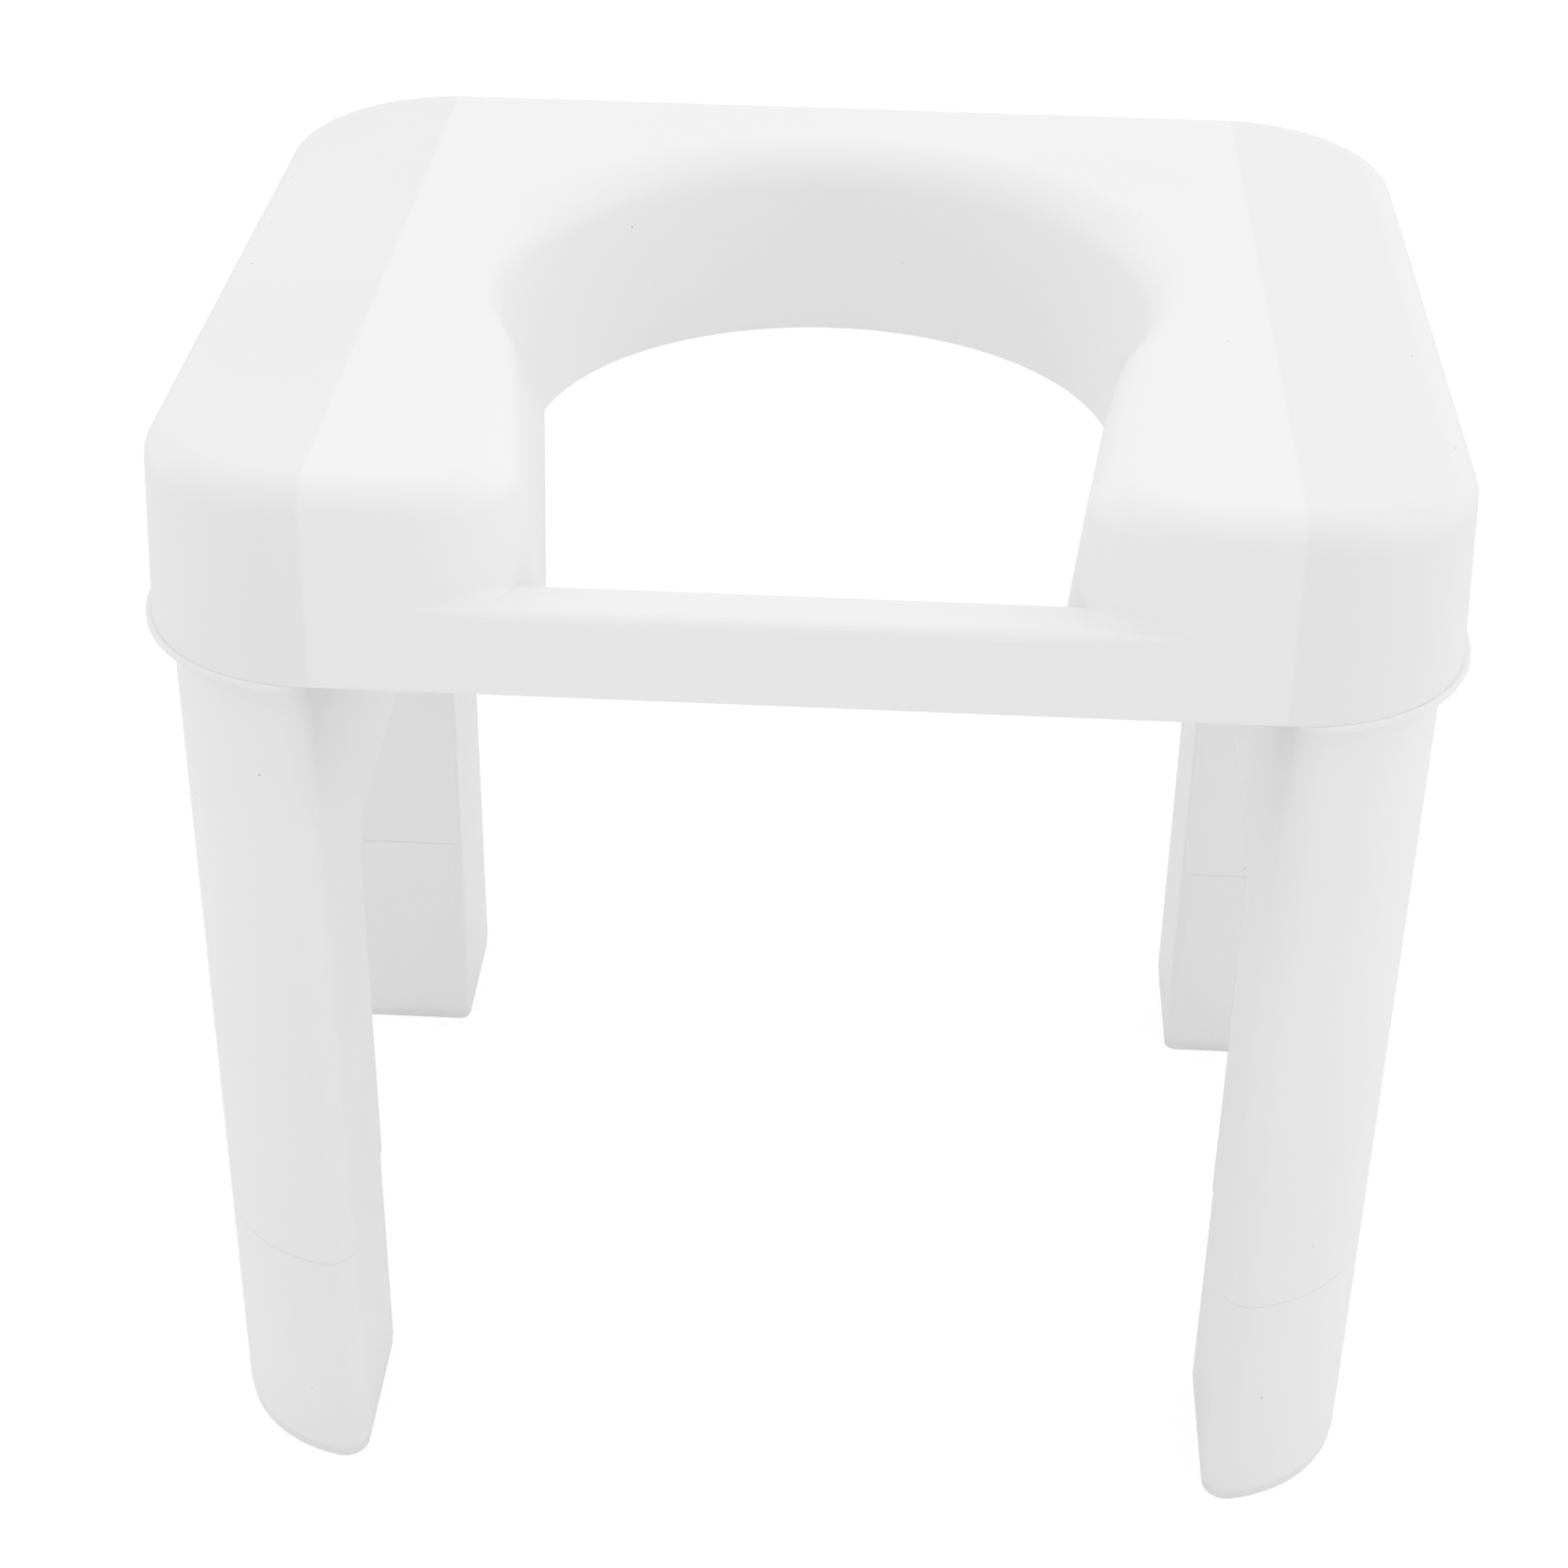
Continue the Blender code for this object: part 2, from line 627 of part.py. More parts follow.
def arch_cutter(name):
    """Cutter for the arch, flared where it leaves the inner and the outer face."""
    flare = []
    for angle in steps(0.0, math.pi / 2, ROUND_STEPS):
        flare.append((ARCH_EDGE_RADIUS * (1.0 - math.cos(angle)), ARCH_EDGE_RADIUS * (1.0 - math.sin(angle))))
    rise = (flare[0][1] - flare[1][1]) / flare[1][0]
    lead = ARCH_EDGE_RADIUS + FLARE_LEAD * rise
    flare = [(-OVERRUN, lead), (-FLARE_LEAD, lead)] + flare[1:]
    side_x = CORNER_X + LEG_RADIUS
    sections = [(LEG_FACE_X + depth, grow) for depth, grow in flare]
    sections += [(side_x - depth, grow) for depth, grow in reversed(flare)]
    bm = bmesh.new()
    rings = []
    for x, grow in sections:
        rings.append([Vector((x, y, z)) for y, z in arch_outline(grow, SPIGOT_BOTTOM_Z - OVERRUN)])
    add_loft(bm, rings)
    return make_object(name, bm)


def frame_body(name):
    """Outside of a leg frame before its arch is cut: spigots, leg, lip and plug in one loft."""
    spigot = full_section(LEG_FACE_X + SPIGOT_INSET, LEG_RADIUS - SPIGOT_INSET, LEG_CORNER_Y)
    leg = full_section(LEG_FACE_X, LEG_RADIUS, LEG_CORNER_Y)
    lip = full_section(LIP_FACE_X, LIP_RADIUS, LIP_CORNER_Y)
    rings = [ring(spigot, SPIGOT_BOTTOM_Z), ring(spigot, SEAM_HEIGHT), ring(leg, SEAM_HEIGHT)]
    rings += [ring(leg, LIP_BOTTOM_Z), ring(lip, LIP_BOTTOM_Z), ring(lip, LIP_TOP_Z)]
    shoulder_z = PLUG_TOP_Z - PLUG_CHAMFER
    for z, inset in ((LIP_TOP_Z, 0.0), (shoulder_z, 0.0), (PLUG_TOP_Z, PLUG_CHAMFER)):
        rings.append(ring(full_section(PLUG_FACE_X + inset, plug_radius(z) - inset, CORNER_Y), z))
    bm = bmesh.new()
    add_loft(bm, rings)
    return make_object(name, bm)


def frame_hollow(name):
    """Air inside a leg frame, open at the top of the plug, less its webs."""
    spigot_inset = SPIGOT_INSET + LEG_WALL
    spigot = full_section(LEG_FACE_X + spigot_inset, LEG_RADIUS - spigot_inset, LEG_CORNER_Y)
    leg = full_section(LEG_FACE_X + LEG_WALL, LEG_RADIUS - LEG_WALL, LEG_CORNER_Y)
    plug_face = LEG_FACE_X + LEG_WALL + FACE_STEP
    neck_z = LIP_BOTTOM_Z - LEG_WALL
    high_z = PLUG_TOP_Z + OVERRUN
    low_z = SPIGOT_BOTTOM_Z + LEG_WALL
    step_z = SEAM_HEIGHT + LEG_WALL
    rings = [ring(spigot, low_z), ring(spigot, step_z), ring(leg, step_z), ring(leg, neck_z)]
    for z in (neck_z, high_z):
        rings.append(ring(full_section(plug_face, plug_radius(z) - LEG_WALL, CORNER_Y), z))
    bm = bmesh.new()
    add_loft(bm, rings)
    hollow = make_object(name, bm)

    # Keep the wall round the arch, which steps in at the spigots
    start_x = LEG_FACE_X - OVERRUN
    end_x = CORNER_X + LEG_RADIUS + OVERRUN
    leg_part = arch_outline(LEG_WALL, step_z)
    spigot_y = ARCH_Y + spigot_inset
    foot_part = [(spigot_y, SPIGOT_BOTTOM_Z - OVERRUN), (spigot_y, step_z)]
    outline = foot_part + leg_part + [(-y, z) for y, z in reversed(foot_part)]
    bm = bmesh.new()
    add_loft(bm, [[Vector((x, y, z)) for y, z in outline] for x in (start_x, end_x)])
    combine(hollow, make_object("arch_wall", bm), "DIFFERENCE")

    # Webs across the panel above the arch, and one down each leg
    bm = bmesh.new()
    half = WEB_THICKNESS / 2
    top_z = PLUG_TOP_Z - WEB_DROP
    panel_z = ARCH_HEIGHT + LEG_WALL / 2
    count = int(ARCH_Y / WEB_PITCH)
    for index in range(-count, count + 1):
        y = index * WEB_PITCH
        add_box(bm, (start_x, y - half, panel_z), (end_x, y + half, top_z))
    leg_y = (ARCH_Y + LEG_END_Y) / 2
    for y in (-leg_y, leg_y):
        add_box(bm, (start_x, y - half, SPIGOT_BOTTOM_Z), (end_x, y + half, top_z))
    combine(hollow, make_object("webs", bm), "DIFFERENCE")
    return hollow


def place(body, side, origin):
    """Mirror a right-hand body to its side and set its origin."""
    if side < 0:
        body.data.transform(Matrix.Scale(-1.0, 4, (1.0, 0.0, 0.0)))
        body.data.flip_normals()
    body.data.transform(Matrix.Translation(-origin))
    body.location = origin


def build_frame(name, side, origin, material):
    """One hollow leg frame with its lip, plug, arch and spigots."""
    frame = frame_body(name)
    bm = bmesh.new()
    clear_y = ARCH_Y + SPIGOT_INSET
    low = (LEG_FACE_X - OVERRUN, -clear_y, SPIGOT_BOTTOM_Z - OVERRUN)
    add_box(bm, low, (CORNER_X + LEG_RADIUS + OVERRUN, clear_y, SEAM_HEIGHT))
    combine(frame, make_object("spigot_gap", bm), "DIFFERENCE")
    combine(frame, arch_cutter("arch"), "DIFFERENCE")
    combine(frame, frame_hollow("frame_hollow"), "DIFFERENCE")
    shade(frame, material)
    place(frame, side, origin)
    return frame


def peg_places():
    """Centres of the two pegs of a front right pad."""
    x = lerp(LEG_FACE_X, CORNER_X + LEG_RADIUS, PEG_ACROSS_SHARE)
    return [(x, -lerp(ARCH_Y, LEG_END_Y, share)) for share in PEG_ALONG_SHARES]


def pegs(name, radius, low_z, high_z):
    """Two upright pegs, or the holes that take them."""
    bm = bmesh.new()
    for x, y in peg_places():
        circle = arc(x, y, radius, 0.0, 2.0 * math.pi, PEG_SIDES)[:-1]
        add_loft(bm, [ring(circle, low_z), ring(circle, high_z)])
    return make_object(name, bm)


def turn_to(body, end):
    """Mirror a front body to the rear when end is 1."""
    if end > 0:
        body.data.transform(Matrix.Scale(-1.0, 4, (0.0, 1.0, 0.0)))
        body.data.flip_normals()


def build_foot(name, side, end, origin, material):
    """Cup that takes a leg's spigot, with a rib under the spigot and holes for the pad's pegs."""
    bm = bmesh.new()
    body = [ring(leg_section(0.0), FOOT_BOTTOM_Z), ring(leg_section(0.0), FOOT_TOP_Z - FOOT_EDGE)]
    add_loft(bm, body + [ring(leg_section(FOOT_EDGE), FOOT_TOP_Z)])
    foot = make_object(name, bm)
    floor_z = FOOT_BOTTOM_Z + FOOT_FLOOR
    bm = bmesh.new()
    add_loft(bm, [ring(leg_section(FOOT_WALL, FOOT_WALL), z) for z in (floor_z, FOOT_TOP_Z + OVERRUN)])
    cup = make_object("cup", bm)
    bm = bmesh.new()
    middle_y = -(ARCH_Y + LEG_END_Y) / 2
    low = (LEG_FACE_X, middle_y - FOOT_RIB / 2, FOOT_BOTTOM_Z)
    high = (CORNER_X + LEG_RADIUS, middle_y + FOOT_RIB / 2, SPIGOT_BOTTOM_Z - TOUCH_GAP)
    add_box(bm, low, high)
    combine(cup, make_object("foot_rib", bm), "DIFFERENCE")
    combine(foot, cup, "DIFFERENCE")
    holes = pegs("peg_holes", PEG_RADIUS + PEG_CLEARANCE, FOOT_BOTTOM_Z - OVERRUN, floor_z + OVERRUN)
    combine(foot, holes, "DIFFERENCE")
    shade(foot, material)
    turn_to(foot, end)
    place(foot, side, origin)
    return foot


def build_pad(name, side, end, origin, material):
    """Soft pad under a foot, with a rounded bottom edge and two pegs."""
    rings = []
    for angle in steps(0.0, math.pi / 2, FOOT_ROUND_STEPS):
        inset = PAD_INSET + PAD_EDGE * (1.0 - math.sin(angle))
        rings.append(ring(leg_section(inset), PAD_EDGE * (1.0 - math.cos(angle))))
    rings.append(ring(leg_section(PAD_INSET), PAD_THICKNESS))
    bm = bmesh.new()
    add_loft(bm, rings)
    pad = make_object(name, bm)
    combine(pad, pegs("pegs", PEG_RADIUS, PAD_THICKNESS / 2, PAD_THICKNESS + PEG_LENGTH), "UNION")
    shade(pad, material)
    turn_to(pad, end)
    place(pad, side, origin)
    return pad


def hang_on(parent, body):
    """Parent a body to an empty without moving it."""
    body.parent = parent
    body.matrix_parent_inverse = Matrix.Translation(-parent.location)


def main():
    """Build every piece, with each side's leg assembly on the axis along which it slides."""
    for old in list(bpy.data.objects):
        bpy.data.objects.remove(old, do_unlink=True)
    shell = plastic("seat_white", (0.87, 0.87, 0.86), 0.36)
    leg = plastic("leg_white", (0.86, 0.86, 0.85), 0.38)
    soft = plastic("pad_white", (0.80, 0.80, 0.79), 0.72)
    build_seat(shell)
    leg_x = (LEG_FACE_X + CORNER_X + LEG_RADIUS) / 2
    for side, side_name in ((-1, "left"), (1, "right")):
        axis = Vector((side * leg_x, 0.0, LIP_TOP_Z))
        slide = bpy.data.objects.new(side_name + "_leg_slide", None)
        slide.location = axis
        bpy.context.collection.objects.link(slide)
        hang_on(slide, build_frame(side_name + "_leg_frame", side, axis, leg))
        for end, end_name in ((-1, "front"), (1, "rear")):
            spot = Vector((side * leg_x, end * (ARCH_Y + LEG_END_Y) / 2, 0.0))
            corner = end_name + "_" + side_name
            hang_on(slide, build_foot(corner + "_foot", side, end, spot, leg))
            hang_on(slide, build_pad(corner + "_pad", side, end, spot, soft))
    bpy.context.view_layer.update()


main()
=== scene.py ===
# %% [markdown]
# # A plastic toilet stool, dressed for the camera
# The stool is one white plastic throughout: a seat with a keyhole opening, two arched leg
# frames, four feet and four soft pads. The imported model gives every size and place, and this
# script gives the finished surfaces. First the model is loaded and its size is kept.

# %% Load the frame
import math
from collections import namedtuple

import bmesh
import bpy
from mathutils import Matrix, Vector


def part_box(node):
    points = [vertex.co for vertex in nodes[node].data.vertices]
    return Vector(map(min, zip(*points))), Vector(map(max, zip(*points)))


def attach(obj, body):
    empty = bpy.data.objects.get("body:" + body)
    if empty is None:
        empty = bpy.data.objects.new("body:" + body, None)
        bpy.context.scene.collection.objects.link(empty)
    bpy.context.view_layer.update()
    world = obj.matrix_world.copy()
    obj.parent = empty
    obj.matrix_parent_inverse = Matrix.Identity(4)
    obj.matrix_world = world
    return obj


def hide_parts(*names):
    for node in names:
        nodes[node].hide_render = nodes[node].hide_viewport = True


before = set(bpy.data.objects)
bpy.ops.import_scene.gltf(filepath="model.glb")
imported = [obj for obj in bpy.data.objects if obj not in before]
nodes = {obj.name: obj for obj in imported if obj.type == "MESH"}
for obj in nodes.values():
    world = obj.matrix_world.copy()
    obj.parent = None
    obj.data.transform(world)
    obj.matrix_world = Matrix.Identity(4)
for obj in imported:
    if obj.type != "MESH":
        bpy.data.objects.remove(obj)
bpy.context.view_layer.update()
print("nodes:", ", ".join(sorted(nodes)))

# %% [markdown]
# ## Camera
# The photograph looks down on the front of the stool with a long lens, turned a little to
# the left and tipped by less than a degree. The numbers are the lens, place and angles that
# bring the stool's corners onto those of the photograph.

# %% Camera
FRAME_PIXELS = 1657
FOCAL_PIXELS = 3237.9
SENSOR = 36.0
CAMERA_PLACE = Vector((0.0306, -0.8917, 0.73969))
PITCH_DOWN = math.radians(32.23)
YAW = math.radians(-2.61)
ROLL = math.radians(0.93)

forward = Vector((
    math.sin(YAW) * math.cos(PITCH_DOWN),
    math.cos(YAW) * math.cos(PITCH_DOWN),
    -math.sin(PITCH_DOWN),
))
level_right = Vector((math.cos(YAW), -math.sin(YAW), 0.0))
level_up = level_right.cross(forward)
right = level_right * math.cos(ROLL) + level_up * math.sin(ROLL)
up = -level_right * math.sin(ROLL) + level_up * math.cos(ROLL)
lens = bpy.data.cameras.new("camera")
lens.sensor_width = SENSOR
lens.lens = FOCAL_PIXELS * SENSOR / FRAME_PIXELS
camera = bpy.data.objects.new("camera", lens)
turn = Matrix((right, up, -forward)).transposed()
camera.matrix_world = Matrix.Translation(CAMERA_PLACE) @ turn.to_4x4()
bpy.context.scene.collection.objects.link(camera)
bpy.context.scene.camera = camera
print("lens", round(lens.lens, 1), "mm")

# %% [markdown]
# ## Sizes
# The stool's own sizes, in metres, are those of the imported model. The side and the heights
# come from the boxes of its pieces, and the rest are the roundings and slopes of the moulding,
# which a box can't tell. First come those of the seat.

# %% Seat sizes
seat_low, seat_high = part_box("seat")

HALF_WIDTH = seat_high[0]
HALF_DEPTH = 0.161
SEAT_TOP = seat_high[2]
SKIRT_BOTTOM = seat_low[2]
CORNER_RADIUS = 0.053
WING_WIDTH = 0.055
EDGE_ROUND = 0.0105
SKIRT_DRAFT = math.radians(2.8)
WING_SLOPE = math.radians(2.2)
CREASE_X = HALF_WIDTH - WING_WIDTH
CORNER_X = HALF_WIDTH - CORNER_RADIUS
CORNER_Y = HALF_DEPTH - math.sqrt(CORNER_RADIUS ** 2 - (CORNER_RADIUS - WING_WIDTH) ** 2)

HOLE_RADIUS = 0.09435
HOLE_Y = 0.0038
HOLE_DRAFT = math.radians(9.0)
RIM_ROUND = 0.0155
NECK_START = math.radians(12.3)
NECK_TAPER = math.radians(7.1)
LOBE_ACROSS = 0.042
LOBE_ALONG = 0.029
BAR_DEPTH = 0.0157
BAR_TOP = SKIRT_BOTTOM + 0.0255
print("seat", [round(1000 * (high - low), 1) for low, high in zip(seat_low, seat_high)], "mm")

# %% [markdown]
# ## Sizes of the legs
# A leg frame follows the seat's corners a few millimetres further in, and its lip comes a
# little further out than the skirt. Where two pieces meet, a hairline gap is left between
# them, fine enough to look like the closed seams of the photograph.

# %% Leg sizes
foot_low, foot_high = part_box("front_right_foot")
frame_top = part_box("right_leg_frame")[1][2]
pad_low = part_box("front_right_pad")[0]

LEG_RADIUS = 0.0482
LEG_CORNER_Y = CORNER_Y - 0.0024
LEG_SIDE_X = CORNER_X + LEG_RADIUS
LEG_FACE_X = foot_low[0] + 0.0006
LEG_FILLET = 0.008
HAIRLINE = 0.00004
SEAM_Z = foot_high[2] + HAIRLINE
ARCH_Y = -foot_high[1]
ARCH_TOP = 0.219
ARCH_CORNER = 0.020
ARCH_EDGE = 0.0045
SEAM_EDGE = 0.0002
LIP_TOP = SKIRT_BOTTOM - HAIRLINE
LIP_THICKNESS = 0.0025
LIP_EDGE = 0.0007
LIP_RADIUS = CORNER_RADIUS + 0.0022
LIP_CORNER_Y = CORNER_Y + CORNER_RADIUS + 0.0006 - LIP_RADIUS
PLUG_TOP = frame_top
PLUG_RADIUS = CORNER_RADIUS - 0.0031
PLUG_EDGE = 0.002
WALL = 0.0025
PLUG_WALL = WALL + 0.0017
WEB = 0.002
PAD_TOP = foot_low[2] - HAIRLINE
print("leg from", round(1000 * LEG_FACE_X, 1), "to", round(1000 * LEG_SIDE_X, 1), "mm")
print("seam at", round(1000 * SEAM_Z, 1), "mm")

# %% [markdown]
# ## Drawing an outline by hand
# Every part of the legs is an outline seen from above, pulled up into a solid. An outline is
# drawn as it would be in Blender's window: one point is placed, extruded along the straight
# stretches and spun round the corners. These helpers do just that, on whatever is selected.

# %% Pencil
FRAME_SMOOTH_DEGREES = 34.0
SEAT_SMOOTH_DEGREES = 30.0
POINT_PLANE = 0.01
OUTLINE_MERGE = 0.000005


def clear_selection():
    """Nothing is selected, so an operator touches only what comes next."""
    if bpy.context.object and bpy.context.object.mode != "OBJECT":
        bpy.ops.object.mode_set(mode="OBJECT")
    bpy.ops.object.select_all(action="DESELECT")


def first_point(name, x, y, z):
    """A new object in edit mode that is a single point: a small plane merged at its middle."""
    clear_selection()
    bpy.ops.mesh.primitive_plane_add(size=POINT_PLANE, location=(x, y, z))
    bpy.context.object.name = name
    bpy.context.object.data.name = name
    bpy.ops.object.mode_set(mode="EDIT")
    bpy.ops.mesh.select_all(action="SELECT")
    bpy.ops.mesh.merge(type="CENTER")


def line(dx, dy):
    """Extrude the selected point along a straight stretch."""
    bpy.ops.mesh.extrude_region_move(TRANSFORM_OT_translate={"value": (dx, dy, 0.0)})


def corner(x, y, z, angle, count):
    """Spin the selected point round a corner, counter-clockwise from above."""
    bpy.ops.mesh.spin(steps=count, angle=-angle, center=(x, y, z), axis=(0.0, 0.0, 1.0))


def fill():
    """Join the ends of the outline and fill it with one face."""
    bpy.ops.mesh.select_all(action="SELECT")
    bpy.ops.mesh.remove_doubles(threshold=OUTLINE_MERGE)
    bpy.ops.mesh.edge_face_add()


def pull_up(height):
    """Extrude the filled outline into a solid whose faces point outwards."""
    bpy.ops.mesh.extrude_region_move(TRANSFORM_OT_translate={"value": (0.0, 0.0, height)})
    outward()


def outward():
    """Turn all faces outwards and go back to object mode, with the place in the mesh."""
    bpy.ops.mesh.select_all(action="SELECT")
    bpy.ops.mesh.normals_make_consistent(inside=False)
    bpy.ops.object.mode_set(mode="OBJECT")
    bpy.ops.object.transform_apply(location=True, rotation=True, scale=True)


def pick_edges(piece, wanted):
    """Enter edit mode with only the edges selected that pass the test, and count them."""
    clear_selection()
    piece.select_set(True)
    bpy.context.view_layer.objects.active = piece
    bpy.ops.object.mode_set(mode="EDIT")
    bpy.ops.mesh.select_mode(type="EDGE")
    bpy.ops.mesh.select_all(action="DESELECT")
    mesh = bmesh.from_edit_mesh(piece.data)
    for edge in mesh.edges:
        edge.select_set(wanted(edge))
    bmesh.update_edit_mesh(piece.data)
    return sum(edge.select for edge in mesh.edges)


def soften(piece, wanted, width, count):
    """Bevel the picked edges, as a mould's edges are never quite sharp."""
    picked = pick_edges(piece, wanted)
    if picked:
        bpy.ops.mesh.bevel(offset=width, segments=count, affect="EDGES", clamp_overlap=True)
    bpy.ops.mesh.select_mode(type="VERT")
    bpy.ops.object.mode_set(mode="OBJECT")
    return picked


def combine(piece, tool, operation="DIFFERENCE"):
    """Apply a Boolean with the tool to the piece, then throw the tool away."""
    clear_selection()
    piece.select_set(True)
    bpy.context.view_layer.objects.active = piece
    modifier = piece.modifiers.new("combine", "BOOLEAN")
    modifier.operation = operation
    modifier.solver = "EXACT"
    modifier.object = tool
    bpy.ops.object.modifier_apply(modifier=modifier.name)
    bpy.data.objects.remove(tool)


def box_between(name, low, high):
    """A block between two corners, used as a tool or as a rib."""
    clear_selection()
    middle = [(a + b) / 2 for a, b in zip(low, high)]
    size = [b - a for a, b in zip(low, high)]
    bpy.ops.mesh.primitive_cube_add(size=1.0, location=middle, scale=size)
    block = bpy.context.object
    block.name = name
    bpy.ops.object.transform_apply(location=True, rotation=True, scale=True)
    return block


def smooth(piece, angle=FRAME_SMOOTH_DEGREES):
    """Smooth curves, sharp corners, and flats that stay flat beside their rounded edges."""
    clear_selection()
    piece.select_set(True)
    bpy.context.view_layer.objects.active = piece
    bpy.ops.object.shade_smooth_by_angle(angle=math.radians(angle))
    modifier = piece.modifiers.new("weigh", "WEIGHTED_NORMAL")
    modifier.keep_sharp = True
    bpy.ops.object.modifier_apply(modifier=modifier.name)


def cut_flats(piece):
    """Cut the faces with many corners into triangles, so that a mirrored copy has the same."""
    mesh = bmesh.new()
    mesh.from_mesh(piece.data)
    bmesh.ops.triangulate(mesh, faces=[face for face in mesh.faces if len(face.verts) > 4])
    mesh.to_mesh(piece.data)
    mesh.free()


def mirrored_copy(piece, name, axis):
    """A copy with its own mesh on the other side of the stool, turned outwards again."""
    clear_selection()
    piece.select_set(True)
    bpy.context.view_layer.objects.active = piece
    bpy.ops.object.duplicate(linked=False)
    other = bpy.context.object
    other.name = name
    other.data.name = name
    bpy.ops.transform.mirror(constraint_axis=(axis == "X", axis == "Y", False))
    bpy.ops.object.transform_apply(location=True, rotation=True, scale=True)
    bpy.ops.object.mode_set(mode="EDIT")
    bpy.ops.mesh.select_all(action="SELECT")
    bpy.ops.mesh.normals_make_consistent(inside=False)
    bpy.ops.object.mode_set(mode="OBJECT")
    return other


print("pencil ready")

# %% [markdown]
# ## The outline of a leg frame
# Seen from above, a frame is as long as the seat is deep. Its inner face is flat, its outer
# side follows the seat's rounded corners, and a small hollow round joins the two. Each end is
# drawn as two arcs that touch: first the small one, then the seat's corner.

# %% Frame outline
CORNER_STEPS = 30
FILLET_STEPS = 12


def end_arcs(face_x, radius, corner_y, fillet):
    """Middle of the small round at the end of the inner face, and the angle where it stops."""
    across = face_x + fillet - CORNER_X
    along = math.sqrt((radius - fillet) ** 2 - across ** 2)
    return face_x + fillet, corner_y + along, math.atan2(along, across)


def draw_frame_outline(name, z, face_x, radius, corner_y):
    """Outline of the right-hand frame, from the front end of the inner face and round."""
    fillet_x, fillet_y, touch = end_arcs(face_x, radius, corner_y, LEG_FILLET)
    first_point(name, face_x, -fillet_y, z)
    corner(fillet_x, -fillet_y, z, math.pi - touch, FILLET_STEPS)
    corner(CORNER_X, -corner_y, z, touch, CORNER_STEPS)
    line(0.0, 2 * corner_y)
    corner(CORNER_X, corner_y, z, touch, CORNER_STEPS)
    corner(fillet_x, fillet_y, z, math.pi - touch, FILLET_STEPS)
    line(0.0, -2 * fillet_y)
    fill()


def frame_slab(name, low_z, high_z, face_x, radius, corner_y):
    """The frame's outline pulled up between two heights."""
    draw_frame_outline(name, low_z, face_x, radius, corner_y)
    pull_up(high_z - low_z)
    return bpy.context.object


lip_middle_z = LIP_TOP - LIP_THICKNESS / 2
frame_right = frame_slab("right_arch", SEAM_Z, lip_middle_z, LEG_FACE_X, LEG_RADIUS, LEG_CORNER_Y)
print(frame_right.name, len(frame_right.data.polygons), "faces")

# %% [markdown]
# ## The arch between the legs
# The gap between the front and the rear leg is cut by a block whose two upper edges are
# rounded first. Its rim is then bevelled on both faces, which gives the soft edge that
# catches the light along the whole arch in the photograph.

# %% Arch
NEARLY = 0.0001
TOOL_OVERHANG = 0.01
ARCH_TOOL_LOW = SEAM_Z - 2 * TOOL_OVERHANG
ARCH_CORNER_STEPS = 14


def near(value, target):
    """True where a coordinate lies on a plane."""
    return abs(value - target) < NEARLY


def at_height(z):
    """Test for the edges that lie at a height."""
    return lambda edge: all(near(v.co.z, z) for v in edge.verts)


def is_level(edge):
    """True for the edges that lie level, at any height."""
    return near(edge.verts[0].co.z, edge.verts[1].co.z)


def block_across(name, low_y, high_y, low_z, high_z):
    """A block that goes right through the frame from its inner face to its outer side."""
    low = (LEG_FACE_X - TOOL_OVERHANG, low_y, low_z)
    return box_between(name, low, (LEG_SIDE_X + TOOL_OVERHANG, high_y, high_z))


def arch_block(name, grow):
    """Block with rounded upper edges that fills the arch, grown by a distance."""
    half = ARCH_Y + grow
    top = ARCH_TOP + grow
    block = block_across(name, -half, half, ARCH_TOOL_LOW, top)
    upper = lambda edge: all(near(v.co.z, top) and near(abs(v.co.y), half) for v in edge.verts)
    soften(block, upper, ARCH_CORNER + grow, ARCH_CORNER_STEPS)
    return block


def on_arch_rim(edge):
    """True for the edges where the arch meets the inner face or the outer side."""
    middle = (edge.verts[0].co + edge.verts[1].co) / 2
    if abs(middle.y) > ARCH_Y + NEARLY or not SEAM_Z + NEARLY < middle.z < ARCH_TOP + NEARLY:
        return False
    return any(all(near(v.co.x, x) for v in edge.verts) for x in (LEG_FACE_X, LEG_SIDE_X))


combine(frame_right, arch_block("arch_block", 0.0))
rim_edges = soften(frame_right, on_arch_rim, ARCH_EDGE, 6)
seam_edges = soften(frame_right, at_height(SEAM_Z), SEAM_EDGE, 2)
print("arch rim", rim_edges, "edges, seam", seam_edges, "edges")

# %% [markdown]
# ## Lip and plug
# A thin lip runs round the top of the frame, just under the seat's skirt, and above it the
# plug goes up into the seat. The plug narrows toward its top as its socket does, so it is
# drawn as two outlines, one at each height, which are then bridged. Both are joined on. Lip
# and plug stand a hair in front of the inner face, so that no two faces lie in one plane.

# %% Lip and plug
LIP_PROUD = 0.0004
PLUG_PROUD = 0.0002


def open_outline(name, z, face_x, radius):
    """The frame's outline at a height, without its face."""
    draw_frame_outline(name, z, face_x, radius, CORNER_Y)
    bpy.ops.mesh.select_all(action="SELECT")
    bpy.ops.mesh.delete(type="ONLY_FACE")
    bpy.ops.object.mode_set(mode="OBJECT")
    bpy.ops.object.transform_apply(location=True, rotation=True, scale=True)
    return bpy.context.object


